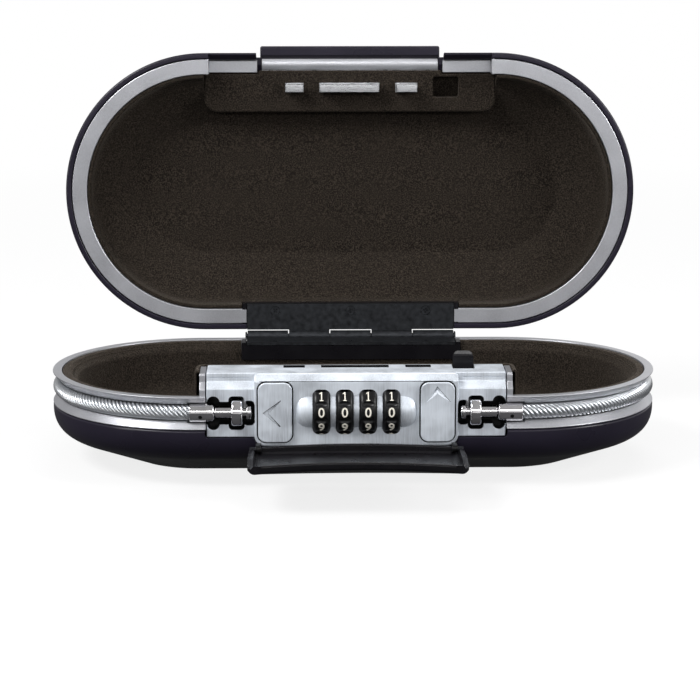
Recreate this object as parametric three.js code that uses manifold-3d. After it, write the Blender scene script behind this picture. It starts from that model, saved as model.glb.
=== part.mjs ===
// Portable car safe: a clam-shell case with a four-dial lock, a steel cable that lies
// in a groove round the case, and a cover that folds down over the dials.
// Millimetres, +Z up, +X to the right, the lock faces -Y.
// The origin is the middle of the flat bottom. The lid stands open and the cover is folded down.

import * as THREE from 'three';
import { mergeVertices } from 'three/addons/utils/BufferGeometryUtils.js';
import Module from 'manifold-3d';

const wasm = await Module();
wasm.setup();

// Overall sizes
const caseWidth = 240;
const caseDepth = 117;
const caseHeight = 60;
const lidOpenAngle = 92;
const coverOpenAngle = 90;

// Clearances
const seam = 0.3;
const runGap = 0.25;

// Cable ends, distances from the middle of the lock
const ferruleOuter = 63;
const ferruleInner = 53.6;
const collarOuter = 47.3;
const collarInner = 42.9;
const neckRadius = 1.7;
const tipInner = 39.4;
const tipRadius = 2.8;
const tipLength = 2.1;

// Case: a stadium outline, two half circles joined by straight sides. The straight sides are
// at least as long as the lock with its cable ends, and the ends turn elliptic where they must.
const outerRadius = caseDepth / 2;
const endCentre = Math.max(caseWidth / 2 - outerRadius, ferruleOuter - 1.5);
const endShift = caseWidth / 2 - endCentre - outerRadius;
const midZ = caseHeight / 2;
const arcSteps = 12;
const shellWall = 2.3;
const wallRise = 8.5;
const shoulderInset = 7.5;
const shoulderRise = 19.55;
const slopeRatio = 0.394;
const foamThickness = 2.7;
const floorInset = 31;

// Rim: the silver channel of the base, with the cable groove, and the band of the lid
const cableRadius = 3;
const ferruleRadius = cableRadius + 0.8;
const collarRadius = cableRadius + 2;
const grooveRadius = cableRadius + seam;
const channelRise = grooveRadius + 3;
const channelDepth = cableRadius + grooveRadius + 1.3;
const partingGap = 0.4;
const channelLand = 3.5;
const channelStep = 1.8;
const bandInset = 2.6;
const bandWidth = 6.3;
const bandThickness = 2.2;
const cableLineY = -(outerRadius - cableRadius);

// Lock housing, heights measured from the cable's plane
const housingHalfWidth = 56.6;
const plateHalfWidth = 38.6;
const plateTop = 12.6;
const plateBottom = -12.7;
const housingTop = 15.1;
const plateFront = -outerRadius;
const endFront = plateFront + 1.3;
const endRise = 9.35;
const upperFront = plateFront + 3.6;
const housingBack = plateFront + 18.3;
const backPlateThickness = 1.1;
const frontWall = 2.3;
const topWall = 1.9;
const plateGap = 0.2;

// Reach of the boxes that cut an opening in the front of the case
const cutFront = plateFront - 21.5;
const cutBack = plateFront + 28.5;

// Dials
const dialCount = 4;
const dialPitch = 8.8;
const dialWidth = 6.3;
const dialRadius = 10;
const dialAxisY = plateFront + 5.65;
const dialAxisRise = 0.6;
const bulgeRadius = 8.2;
const bulgeLength = 45.5;
const shaftRadius = 2;
const sleeveRadius = 4.3;
const dialsHalfWidth = (dialCount * dialPitch) / 2;
const dialCentres = [];
for (let i = 0; i < dialCount; i += 1) {
  dialCentres.push((i - (dialCount - 1) / 2) * dialPitch);
}

// Buttons: one slides up and frees the lid, the other slides left and frees the cable
const buttonWidth = 12.8;
const buttonHeight = 23;
const buttonThickness = 1;
const buttonTravel = 3.5;
const buttonX = 30.7;
const buttonCorner = 3;
const stemSize = 5;
const camPinRadius = 1.5;

// Lid fastening
const tangFront = plateFront + 13.3;
const tangDepth = 3.2;
const tangSpans = [[-27, -20], [-12.6, 12.1], [19.6, 28.2]];
const barSpan = [tangSpans[0][0] - 4, tangSpans[2][1] + 7.3];
const strikerRise = 17.1;
const strikerThickness = 1.2;
const shelfRise = 15.6;
const shelfThickness = 1.2;
const strikerHalfWidth = plateHalfWidth - 1.4;
const strikerFront = plateFront + 6;
const strikerBack = plateFront + 18.1;
const strikerScrewY = plateFront + 9.5;
const strikerScrewPlaces = [-33.5, 33, -15, 15].map((x) => [x, strikerScrewY]);
const bulgeFront = plateFront - 2.5;
const bulgeHalfWidth = 37.9;

// Reset lever
const leverX = 41.15;
const leverWidth = 7.9;
const leverThickness = 3;
const leverTravel = 2.5;
const leverBack = housingBack - 0.4;
const leverFoot = 1.8;

// Back hinge
const hingeY = outerRadius + 2.7;
const hingeZ = midZ + channelRise + partingGap / 2;
const knuckleRadius = 2.3;
const hingePinRadius = 1;
const hingeLength = 88;
const knuckleCount = 5;
const leafThickness = 1.2;
const leafFront = outerRadius - 10.9;
const landFront = leafFront - 0.4;
const landMargin = 2;

// Cover
const coverHalfWidth = 40.5;
const coverWall = 2;
const coverFace = plateFront - 7.3;
const coverHingeY = plateFront - 3.5;
const coverHingeRise = -13;
const coverCrease = 9.4;
const coverLean = 4.4;
const coverEdge = 1.5;
const coverTop = 22.7;
const coverPinRadius = 0.9;
const lugRadius = 1.5;
const lugInner = 36;
const lugWidth = 2.1;

const colours = {
  shell: { color: 0x17171d, roughness: 0.35, metalness: 0 },
  silver: { color: 0xb4b4bc, roughness: 0.45, metalness: 0.6 },
  foam: { color: 0x3a3432, roughness: 0.95, metalness: 0 },
  zinc: { color: 0xa9b3bd, roughness: 0.38, metalness: 1 },
  steel: { color: 0xc4c6c8, roughness: 0.3, metalness: 1 },
  chrome: { color: 0xe2e2e2, roughness: 0.08, metalness: 1 },
  blackPlastic: { color: 0x121214, roughness: 0.5, metalness: 0 },
  cable: { color: 0xd0d2d4, roughness: 0.25, metalness: 0.7 },
};

// Height above the origin of something that is rise above the cable's plane
const at = (rise) => midZ + rise;

// Closed three.js geometry to a solid, and back
function solid(geometry) {
  const bare = geometry.clone();
  bare.deleteAttribute('normal');
  bare.deleteAttribute('uv');
  const merged = mergeVertices(bare, 1e-4);
  const index = merged.index.array;
  const kept = [];
  for (let i = 0; i < index.length; i += 3) {
    const [a, b, c] = [index[i], index[i + 1], index[i + 2]];
    if (a !== b && b !== c && c !== a) kept.push(a, b, c);
  }
  const mesh = new wasm.Mesh({
    numProp: 3,
    vertProperties: new Float32Array(merged.attributes.position.array),
    triVerts: new Uint32Array(kept),
  });
  return new wasm.Manifold(mesh);
}

function geometryOf(body) {
  const mesh = body.getMesh();
  const geometry = new THREE.BufferGeometry();
  const positions = new Float32Array(mesh.vertProperties);
  geometry.setAttribute('position', new THREE.BufferAttribute(positions, 3));
  geometry.setIndex(new THREE.BufferAttribute(new Uint32Array(mesh.triVerts), 1));
  geometry.computeVertexNormals();
  return geometry;
}

const join = (...bodies) => bodies.reduce((sum, body) => sum.add(body));

// Solid building blocks
function box([x0, x1], [y0, y1], [z0, z1]) {
  const geometry = new THREE.BoxGeometry(x1 - x0, y1 - y0, z1 - z0);
  geometry.translate((x0 + x1) / 2, (y0 + y1) / 2, (z0 + z1) / 2);
  return solid(geometry);
}

const bothSides = ([x0, x1], y, z) => box([x0, x1], y, z).add(box([-x1, -x0], y, z));

function shapeOf(points) {
  return new THREE.Shape(points.map(([u, v]) => new THREE.Vector2(u, v)));
}

// Extrude an outline of (y, z) points along X
function alongX(points, [x0, x1]) {
  const options = { depth: x1 - x0, bevelEnabled: false };
  const geometry = new THREE.ExtrudeGeometry(shapeOf(points), options);
  const basis = new THREE.Matrix4().makeBasis(
    new THREE.Vector3(0, 1, 0),
    new THREE.Vector3(0, 0, 1),
    new THREE.Vector3(1, 0, 0),
  );
  geometry.applyMatrix4(basis);
  geometry.translate(x0, 0, 0);
  return solid(geometry);
}

// Extrude a shape of (x, z) points along Y
function alongY(shape, [y0, y1]) {
  const options = { depth: y1 - y0, bevelEnabled: false, curveSegments: 3 };
  const geometry = new THREE.ExtrudeGeometry(shape, options);
  const basis = new THREE.Matrix4().makeBasis(
    new THREE.Vector3(1, 0, 0),
    new THREE.Vector3(0, 0, 1),
    new THREE.Vector3(0, -1, 0),
  );
  geometry.applyMatrix4(basis);
  geometry.translate(0, y1, 0);
  return solid(geometry);
}

function roundedRect([u0, u1], [v0, v1], r) {
  const shape = new THREE.Shape();
  shape.moveTo(u0 + r, v0);
  shape.lineTo(u1 - r, v0);
  shape.absarc(u1 - r, v0 + r, r, -Math.PI / 2, 0, false);
  shape.lineTo(u1, v1 - r);
  shape.absarc(u1 - r, v1 - r, r, 0, Math.PI / 2, false);
  shape.lineTo(u0 + r, v1);
  shape.absarc(u0 + r, v1 - r, r, Math.PI / 2, Math.PI, false);
  shape.lineTo(u0, v0 + r);
  shape.absarc(u0 + r, v0 + r, r, Math.PI, Math.PI * 1.5, false);
  return shape;
}

// A slot with round ends from one point to another, as a solid along Y
function slotAlongY([ux, uz], [vx, vz], r, [y0, y1]) {
  const turn = Math.atan2(vz - uz, vx - ux);
  const shape = new THREE.Shape();
  shape.absarc(ux, uz, r, turn + Math.PI / 2, turn + Math.PI * 1.5, false);
  shape.absarc(vx, vz, r, turn - Math.PI / 2, turn + Math.PI / 2, false);
  return alongY(shape, [y0, y1]);
}

// A turned piece on an axis along X: outline of (x, radius) points
function turnedX(points, [y, z], segments = 20) {
  const outline = points.map(([x, r]) => new THREE.Vector2(r, x));
  const geometry = new THREE.LatheGeometry(outline, segments);
  geometry.rotateZ(-Math.PI / 2);
  geometry.translate(0, y, z);
  return upright(geometry);
}

// The same on an axis along Y
function turnedY(points, [x, z], segments = 8) {
  const outline = points.map(([y, r]) => new THREE.Vector2(r, y));
  const geometry = new THREE.LatheGeometry(outline, segments);
  geometry.translate(x, 0, z);
  return upright(geometry);
}

// The same on an axis along Z
function turnedZ(points, [x, y], segments = 8) {
  const outline = points.map(([z, r]) => new THREE.Vector2(r, z));
  const geometry = new THREE.LatheGeometry(outline, segments);
  geometry.rotateX(Math.PI / 2);
  geometry.translate(x, y, 0);
  return upright(geometry);
}

// Give a closed surface outward faces, whichever way its outline ran
function upright(geometry) {
  if (signedVolume(geometry) < 0) geometry.index.array.reverse();
  return solid(geometry);
}

function signedVolume(geometry) {
  const points = geometry.attributes.position;
  const index = geometry.index.array;
  const corner = (i) => new THREE.Vector3().fromBufferAttribute(points, index[i]);
  let total = 0;
  for (let i = 0; i < index.length; i += 3) {
    total += corner(i).dot(corner(i + 1).cross(corner(i + 2))) / 6;
  }
  return total;
}

// Plain round rods
const rodOutline = ([from, to], r) => [[from, 0], [from, r], [to, r], [to, 0]];
const rodX = (span, r, yz, segments = 12) => turnedX(rodOutline(span, r), yz, segments);
const rodY = (span, r, xz, segments = 8) => turnedY(rodOutline(span, r), xz, segments);
const rodZ = (span, r, xy, segments = 8) => turnedZ(rodOutline(span, r), xy, segments);

// Sweep a closed outline of (radius, z) points round the stadium
function stadium(outline) {
  const positions = [];
  const columns = 2 * (arcSteps + 1);
  for (let column = 0; column < columns; column += 1) {
    const side = column <= arcSteps ? 1 : -1;
    const step = column % (arcSteps + 1);
    const angle = (side > 0 ? -Math.PI / 2 : Math.PI / 2) + (Math.PI * step) / arcSteps;
    for (const [r, z] of outline) {
      const reach = r === 0 ? 0 : (r + endShift) * Math.cos(angle);
      positions.push(side * endCentre + reach, r * Math.sin(angle), z);
    }
  }
  const index = [];
  const rows = outline.length;
  for (let column = 0; column < columns; column += 1) {
    const next = (column + 1) % columns;
    for (let row = 0; row < rows; row += 1) {
      const above = (row + 1) % rows;
      if (outline[row][0] === 0 && outline[above][0] === 0) continue;
      const [a, b] = [column * rows + row, column * rows + above];
      const [c, d] = [next * rows + row, next * rows + above];
      // Surfaces that lie along each other get the same diagonal, so their gap stays even
      if (outline[row][0] >= outline[above][0]) index.push(a, c, d, a, d, b);
      else index.push(a, c, b, b, c, d);
    }
  }
  const geometry = new THREE.BufferGeometry();
  geometry.setAttribute('position', new THREE.BufferAttribute(new Float32Array(positions), 3));
  geometry.setIndex(index);
  return upright(geometry);
}

// The case's outer section as (inset, rise) points from the rim to the flat face
function sectionFrom(rimRise) {
  const slopeCorner = shoulderRise - shoulderInset * slopeRatio;
  const shoulder = new THREE.QuadraticBezierCurve(
    new THREE.Vector2(0, wallRise),
    new THREE.Vector2(0, slopeCorner),
    new THREE.Vector2(shoulderInset, shoulderRise),
  );
  const flatInset = shoulderInset + (caseHeight / 2 - shoulderRise) / slopeRatio;
  const curve = shoulder.getPoints(4).map((point) => [point.x, point.y]);
  return [[0, rimRise], ...curve, [flatInset, caseHeight / 2]];
}

// The same section moved inward by a distance, square to itself
function insetSection(rimRise, distance) {
  const points = sectionFrom(rimRise);
  const normals = points.slice(1).map(([inset, rise], i) => {
    const [fromInset, fromRise] = points[i];
    const length = Math.hypot(inset - fromInset, rise - fromRise);
    return [(rise - fromRise) / length, -(inset - fromInset) / length];
  });
  normals.push([0, -1]);
  return points.map(([inset, rise], i) => {
    const before = normals[Math.max(i - 1, 0)];
    const after = normals[i];
    const along = 1 + before[0] * after[0] + before[1] * after[1];
    const shiftInset = (distance * (before[0] + after[0])) / along;
    const shiftRise = (distance * (before[1] + after[1])) / along;
    return [inset + shiftInset, i === 0 ? rise : rise + shiftRise];
  });
}

// Half of the case: up is 1 for the lid and -1 for the base
const toRing = (up) => ([inset, rise]) => [outerRadius - inset, at(up * rise)];

function shellHalf(rimRise, up) {
  const outer = sectionFrom(rimRise);
  const inner = insetSection(rimRise, shellWall).reverse();
  const last = outer[outer.length - 1][1];
  const axis = [[outerRadius, last], [outerRadius, last - shellWall]];
  return stadium([...outer, ...axis, ...inner].map(toRing(up)));
}

// The space inside the shell, shrunk by a further margin
function cavity(rimRise, up, margin) {
  const inner = insetSection(rimRise, margin);
  const last = inner[inner.length - 1][1];
  return stadium([[outerRadius, rimRise], ...inner, [outerRadius, last]].map(toRing(up)));
}

// Inner face of the foam, from the rim to the floor
function foamFace(edgeInset, edgeRise) {
  const floorRise = caseHeight / 2 - shellWall - seam - foamThickness;
  const corner = new THREE.QuadraticBezierCurve(
    new THREE.Vector2(edgeInset + 0.4, 9.5),
    new THREE.Vector2(edgeInset + 0.8, 13.4),
    new THREE.Vector2(edgeInset + 4.4, 15.4),
  );
  const curve = corner.getPoints(3).map((point) => [point.x, point.y]);
  return [[edgeInset, edgeRise], ...curve, [floorInset, floorRise], [outerRadius, floorRise]];
}

// Outer face of the foam, following the shell from a height on
function foamBack(fromRise) {
  const back = insetSection(0, shellWall + seam).filter(([, rise]) => rise > fromRise);
  const last = back[back.length - 1][1];
  return [...back, [outerRadius, last]].reverse();
}

const rimRise = channelRise + partingGap;
const legRise = rimRise + 6;

function piece(name, look, body) {
  const material = new THREE.MeshStandardMaterial(colours[look]);
  const mesh = new THREE.Mesh(geometryOf(body), material);
  mesh.name = name;
  return mesh;
}

// Lock outline seen from the side: the end blocks, with margin all round
function endOutline(margin, top, bottom, back) {
  const ledge = upperFront - endFront;
  return [
    [endFront - margin, at(bottom)],
    [endFront - margin, at(endRise + margin)],
    [upperFront - margin, at(endRise + ledge + margin)],
    [upperFront - margin, at(top)],
    [back, at(top)],
    [back, at(bottom)],
  ];
}

function plateOutline(top, bottom, back) {
  const bevel = 2.2;
  return [
    [plateFront, at(bottom)],
    [plateFront, at(plateTop)],
    [plateFront + bevel, at(top)],
    [back, at(top)],
    [back, at(bottom)],
  ];
}

// Base

function baseShell() {
  const y = [cutFront, housingBack + 4.2];
  const top = at(channelRise);
  const endHalf = housingHalfWidth + 0.7;
  const middleHalf = plateHalfWidth + seam;
  const ends = box([-endHalf, endHalf], y, [at(-endRise - seam), top]);
  const middle = box([-middleHalf, middleHalf], y, [at(plateBottom - seam), top]);
  return shellHalf(channelRise + 0.2, -1).subtract(ends).subtract(middle);
}

function baseFrame() {
  const lip = 0.4;
  const mouth = THREE.MathUtils.degToRad(80);
  const groove = [];
  const grooveSteps = 8;
  for (let i = 0; i <= grooveSteps; i += 1) {
    const angle = -mouth - ((2 * Math.PI - 2 * mouth) * i) / grooveSteps;
    groove.push([cableRadius - grooveRadius * Math.cos(angle), grooveRadius * Math.sin(angle)]);
  }
  const section = [
    [0, -channelRise],
    [0, lip - channelRise],
    ...groove,
    [0, channelRise - lip],
    [0, channelRise],
    [channelLand, channelRise],
    [channelLand, channelRise - channelStep],
    [channelDepth, channelRise - channelStep],
    [channelDepth, -channelRise],
  ];
  const ring = stadium(section.map(toRing(1)));
  const inner = housingHalfWidth + 0.4;
  const opening = box([-inner, inner], [cutFront, cutBack], [0, caseHeight]);
  const flangeBack = housingBack - seam;
  const riser = [
    [endFront, at(channelRise - 1)],
    [endFront, at(endRise - 0.3)],
    [upperFront, at(endRise + upperFront - endFront - 0.3)],
    [upperFront, at(housingTop - 0.4)],
    [flangeBack, at(housingTop - 0.4)],
    [flangeBack, at(-channelRise)],
    [-outerRadius + channelDepth - 0.5, at(-channelRise)],
    [-outerRadius + channelDepth - 0.5, at(channelRise - 2.5)],
  ];
  const riserWidth = 2.2;
  const risers = join(
    alongX(riser, [inner, inner + riserWidth]),
    alongX(riser, [-inner - riserWidth, -inner]),
  );
  const ferruleGap = 0.35;
  const ferruleRoom = join(
    rodX([inner - 1, ferruleOuter + 1], ferruleRadius + ferruleGap, [cableLineY, midZ]),
    rodX([-ferruleOuter - 1, 1 - inner], ferruleRadius + ferruleGap, [cableLineY, midZ]),
  );
  const half = hingeLength / 2 + landMargin;
  const landTop = at(channelRise);
  const land = join(
    box([-half, half], [landFront, outerRadius], [at(grooveRadius + 0.1), landTop]),
    box([-half, half], [landFront, outerRadius - channelDepth + 0.6], [at(-1), landTop]),
  );
  const leafRoom = box(
    [-hingeLength / 2 - seam, hingeLength / 2 + seam],
    [leafFront - 1, outerRadius + 1],
    [at(channelRise - leafThickness - 0.2), at(channelRise + 1)],
  );
  const screws = hingeScrewHoles([at(0.5), at(channelRise + 1.7)], 1.3);
  const rooms = join(leafRoom, screws, sideScrewHoles(1.5));
  return ring.subtract(opening).add(risers).subtract(ferruleRoom).add(land).subtract(rooms);
}

// The box round the lock that the base's foam leaves free, and its raised wall
const linerWallX = housingHalfWidth + 2.9;
const linerWall = 1.8;
const linerWallBack = housingBack + 4.9;

function baseLiner() {
  const topEdge = [
    [channelLand + seam, channelRise - 0.4],
    [channelLand + seam, channelRise - channelStep + seam],
    [channelDepth + seam, channelRise - channelStep + seam],
    [channelDepth + seam, -channelRise - seam],
    [shellWall + seam, -channelRise - seam],
  ];
  const down = ([inset, rise]) => [inset, -rise];
  const back = foamBack(channelRise + 1).map(down).reverse();
  const edge = channelDepth + 2.6;
  const face = foamFace(edge, 6).map(down).reverse();
  const top = [[edge, channelRise - 3.7], [edge - 3.9, channelRise - 0.4]];
  const outline = [...topEdge, ...back, ...face, ...top];
  const bowl = stadium(outline.map(toRing(1)));
  const hollowY = [cutFront, linerWallBack - linerWall];
  const hollow = box([-linerWallX, linerWallX], hollowY, [at(plateBottom - 0.7), caseHeight]);
  const wallTop = at(housingTop - 0.6);
  const wallOuter = linerWallX + linerWall;
  const wallY = [-outerRadius + bandInset + bandWidth + 0.5, linerWallBack];
  const block = box([-wallOuter, wallOuter], wallY, [at(-14), wallTop]);
  const upper = box([-wallOuter, wallOuter], wallY, [midZ, wallTop]);
  const bounds = cavity(0, -1, shellWall + seam).add(upper);
  const channelRoom = box(
    [-wallOuter - 1, wallOuter + 1],
    [cutFront, -outerRadius + channelDepth + seam],
    [at(-7), at(5)],
  );
  const wall = block.subtract(hollow).intersect(bounds).subtract(channelRoom);
  const half = hingeLength / 2 + landMargin + seam;
  const hingeRoom = box([-half, half], [landFront - 0.4, outerRadius], [at(-1.3), caseHeight]);
  return bowl.subtract(hollow).add(wall).subtract(hingeRoom);
}

// Lock housing

const cavityTop = housingTop - topWall;
const cavityBottom = -10.4;
const cavityFront = plateFront + frontWall;
const roomInner = dialsHalfWidth + 1.9;
const roomOuter = plateHalfWidth - 0.4;
const dialAxis = [dialAxisY, at(dialAxisRise)];
const stemRise = dialAxisRise;
const camSpan = [buttonX - 5.7, buttonX + 6.7];
const boltFront = plateFront + 2.6;
const boltBack = plateFront + 10.1;
const boltTail = [boltBack - 1.2, boltBack];
const boltX = [0.2 - collarInner, 1.2 - collarInner];
const boltGap = 0.35;

function fittingRoom(side) {
  const span = (a, b) => (side > 0 ? [a, b] : [-b, -a]);
  const deep = [plateFront - 2, cableLineY + collarRadius + 0.4];
  const across = (half) => [at(-half), at(half)];
  const tall = across(collarRadius + 1.5);
  const low = across(collarRadius - 0.2);
  const stemSpan = span(tipInner, housingHalfWidth + 1);
  const stemRoom = box(stemSpan, deep, across(ferruleRadius + 0.6));
  const outer = roundedRect(span(ferruleInner - 2, housingHalfWidth - 0.2), tall, 2.2);
  const collar = roundedRect(span(collarInner - 0.7, collarOuter + 1), tall, 1.4);
  const tip = roundedRect(span(tipInner - 1.1, collarInner), low, 1.6);
  return join(stemRoom, ...[outer, collar, tip].map((shape) => alongY(shape, deep)));
}

function lockHousing() {
  const endSpan = [-housingHalfWidth, housingHalfWidth];
  const plateSpan = [-plateHalfWidth, plateHalfWidth];
  const ends = alongX(endOutline(0, housingTop, -endRise, housingBack), endSpan);
  const plate = alongX(plateOutline(housingTop, plateBottom, housingBack), plateSpan);
  const bulge = rodX([-bulgeLength / 2, bulgeLength / 2], bulgeRadius, dialAxis, 20);
  const bulgeKeep = box(plateSpan, [cutFront, cavityFront], [at(-8), at(9)]);
  const lugFront = coverHingeY - lugRadius * Math.cos(Math.PI / 6);
  const lugTop = coverHingeRise + lugRadius + 0.2;
  const lugOutline = [
    [plateFront + 0.5, at(lugTop)],
    [coverHingeY + 1, at(lugTop)],
    [coverHingeY, at(coverHingeRise + lugRadius)],
    [lugFront, at(coverHingeRise + lugRadius / 2)],
    [lugFront, at(coverHingeRise - lugRadius / 2)],
    [coverHingeY, at(coverHingeRise - lugRadius)],
    [plateFront - 0.2, at(coverHingeRise - lugRadius)],
    [plateFront - 0.2, at(plateBottom + 0.3)],
    [plateFront + 0.5, at(plateBottom + 0.3)],
  ];
  const lugs = join(
    alongX(lugOutline, [lugInner, lugInner + lugWidth]),
    alongX(lugOutline, [-lugInner - lugWidth, -lugInner]),
  );
  let body = join(ends, plate, bulge.intersect(bulgeKeep), lugs);
  const windowHalf = dialWidth / 2 + runGap;
  for (const x of dialCentres) {
    const span = [x - windowHalf, x + windowHalf];
    body = body.subtract(rodX(span, dialRadius + 0.35, dialAxis, 20));
  }
  const open = housingBack + 1;
  const sideRoom = [at(cavityBottom), at(cavityTop)];
  const dialRoomHalf = dialsHalfWidth + 1;
  const dialRoomY = [dialAxisY + dialRadius + 0.2, open];
  const barRoomX = [barSpan[0] - buttonTravel - 0.5, barSpan[1] + 0.5];
  const leverHalf = leverWidth / 2 + seam;
  const leverFront = leverBack - leverThickness - leverFoot - leverTravel - 0.7;
  const rooms = [
    bothSides([roomInner, roomOuter], [cavityFront, open], sideRoom),
    box(barRoomX, [tangFront - 1.5, open], [at(9), at(cavityTop)]),
    box([-dialRoomHalf, dialRoomHalf], dialRoomY, [at(-9), at(8.6)]),
    rodX([-roomInner - 0.5, roomInner + 0.5], shaftRadius + runGap, dialAxis, 12),
    box([leverX - leverHalf, leverX + leverHalf], [leverFront, open], [at(7.2), at(20)]),
    coverPinHoles(lugInner - 1, lugInner + lugWidth + 1),
    sideScrewHoles(1.45),
    fittingRoom(1),
    fittingRoom(-1),
    clipRoom(),
    ...stemRooms(),
    ...boltRooms(),
  ];
  for (const [x0, x1] of tangSpans) {
    const y = [tangFront - 0.6, tangFront + tangDepth + 0.7];
    rooms.push(box([x0 - 0.6, x1 + 0.6], y, [at(cavityTop - 1), at(20)]));
  }
  for (const [x, z] of backScrewPlaces) {
    rooms.push(rodY([backScrewDeep - 0.5, open], 1.45, [x, at(z)]));
  }
  return body.subtract(join(...rooms));
}

// Slots in the front wall for the stems of the two buttons
function stemRooms() {
  const half = stemSize / 2 + seam;
  const wall = [plateFront - 2, cavityFront + 1];
  const low = at(stemRise - half);
  const high = at(stemRise + half);
  return [
    box([-buttonX - half - buttonTravel, -buttonX + half], wall, [low, high]),
    box([buttonX - half, buttonX + half], wall, [low, high + buttonTravel]),
  ];
}

// The bolt that grips the neck of the cable's removable end, and the room it slides in
const boltHeadTop = 6.4;
const boltTop = 9;
const boltStep = boltFront + 2.4;

function boltRooms() {
  const x = [boltX[0] - boltGap, boltX[1] + boltGap];
  const back = boltBack + 0.4;
  return [
    box(x, [boltFront - 0.3, back], [at(-0.4), at(boltHeadTop + buttonTravel + 0.3)]),
    box(x, [boltStep - 0.4, back], [at(-0.4), at(cavityTop)]),
    box([x[0], 0.2 - roomOuter], [boltTail[0] - 0.4, back], [at(4.2), at(cavityTop)]),
  ];
}

// A slanted slot turns a button's travel into the same travel square to it
function camSlot(startX, endX, endRise) {
  const start = [startX, at(stemRise)];
  const y = [boltTail[0] - 1, boltTail[1] + 1];
  return slotAlongY(start, [endX, at(endRise)], camPinRadius + runGap, y);
}

function cableBolt() {
  const head = [
    [boltFront, at(0.1)],
    [boltFront, at(boltHeadTop)],
    [boltStep, at(boltHeadTop)],
    [boltStep, at(boltTop)],
    [boltBack, at(boltTop)],
    [boltBack, at(0.1)],
  ];
  const neckRoom = rodX([boltX[0] - 1, boltX[1] + 1], neckRadius + runGap, [cableLineY, midZ]);
  const arm = box([boltX[1], 0.4 - camSpan[1]], boltTail, [at(4.6), at(boltTop)]);
  const cam = box([-camSpan[1], -camSpan[0]], boltTail, [at(-6.5), at(boltTop)]);
  const slot = camSlot(-buttonX, -buttonX - buttonTravel, stemRise - buttonTravel);
  return alongX(head, boltX).subtract(neckRoom).add(arm).add(cam).subtract(slot);
}

// The fixed clip that holds the other end of the cable
function clipRoom() {
  const x = [-boltX[1] - boltGap, -boltX[0] + boltGap];
  return box(x, [boltFront - 0.3, boltBack + 0.4], [at(-0.4), at(boltHeadTop + 0.4)]);
}

function anchorClip() {
  const x = [-boltX[1], -boltX[0]];
  const neckRoom = rodX([x[0] - 1, x[1] + 1], neckRadius + runGap, [cableLineY, midZ]);
  return box(x, [boltFront, boltBack], [at(0.1), at(boltHeadTop)]).subtract(neckRoom);
}

// Back plate of the lock and its four screws
const backScrewX = housingHalfWidth - 4.6;
const backScrewRise = 6.8;
const backScrewDeep = housingBack - 5.8;
const backScrewPlaces = [
  [-backScrewX, backScrewRise],
  [-backScrewX, -backScrewRise],
  [backScrewX, backScrewRise],
  [backScrewX, -backScrewRise],
];
const plateFar = housingBack + plateGap + backPlateThickness;

function backPlate() {
  const half = housingHalfWidth - 0.5;
  const shape = roundedRect([-half, half], [at(-9.2), at(13)], 1.5);
  const y = [housingBack - 1, plateFar + 1];
  const holes = backScrewPlaces.map(([x, z]) => rodY(y, 1.45, [x, at(z)]));
  return alongY(shape, [housingBack + plateGap, plateFar]).subtract(join(...holes));
}

function backScrew([x, z]) {
  const seat = plateFar + 0.1;
  const outline = [
    [backScrewDeep, 0],
    [backScrewDeep, 1.15],
    [seat, 1.15],
    [seat, 2.3],
    [seat + 0.8, 2.3],
    [seat + 1.3, 1.4],
    [seat + 1.3, 0],
  ];
  return turnedY(outline, [x, at(z)]);
}

// Screws through the channel's flanges into the ends of the housing
const sideScrewY = plateFront + 13;
const sideScrewDeep = housingHalfWidth - 4.2;

function sideScrewHoles(r) {
  const span = [sideScrewDeep - 0.4, housingHalfWidth + 4];
  const yz = [sideScrewY, midZ];
  return join(rodX(span, r, yz, 8), rodX([-span[1], -span[0]], r, yz, 8));
}

function sideScrew(side) {
  const outline = rodOutline([sideScrewDeep, housingHalfWidth + 2.7], 1.15);
  return turnedX(mirrorX(outline, side), [sideScrewY, midZ], 8);
}

// Dials
function dialShaft() {
  return rodX([0.2 - roomInner, roomInner - 0.2], shaftRadius, dialAxis, 12);
}

function dial(centreX) {
  const half = dialWidth / 2;
  const edge = 0.6;
  const bore = sleeveRadius + runGap;
  const outline = [
    [-half, bore],
    [-half, dialRadius - edge],
    [edge - half, dialRadius],
    [half - edge, dialRadius],
    [half, dialRadius - edge],
    [half, bore],
    [-half, bore],
  ].map(([x, r]) => [x + centreX, r]);
  return turnedX(outline, dialAxis, 20);
}

// The ring inside a dial that holds its combination
function dialSleeve(centreX) {
  const half = dialWidth / 2 - 0.1;
  const bore = shaftRadius + runGap;
  const outline = [
    [-half, bore],
    [-half, sleeveRadius],
    [half, sleeveRadius],
    [half, bore],
    [-half, bore],
  ].map(([x, r]) => [x + centreX, r]);
  const gateX = [centreX - 1.2, centreX + 1.2];
  const gateZ = [at(dialAxisRise + sleeveRadius - 1.1), at(dialAxisRise + sleeveRadius + 1)];
  const gate = box(gateX, [dialAxisY - 1, dialAxisY + 1], gateZ);
  return turnedX(outline, dialAxis, 12).subtract(gate);
}

// A leaf with one finger for each dial
function detentSpring() {
  const back = housingBack - 0.4;
  const half = dialsHalfWidth + 0.2;
  const strip = box([-half, half], [back - 0.5, back], [at(-8), at(-3)]);
  const fingers = [];
  for (const centreX of dialCentres) {
    const x = [centreX - 2, centreX + 2];
    fingers.push(box(x, [back - 0.5, back], [at(-3.2), at(6)]));
    fingers.push(box(x, [back - 1.3, back - 0.4], [at(0), at(1.2)]));
  }
  return join(strip, ...fingers);
}

// Buttons: a cap on the lock's face, a stem through the wall, a flange and a cam pin behind it
const flangeHalfWidth = 3.8;
const flangeHalfHeight = 5;

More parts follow.
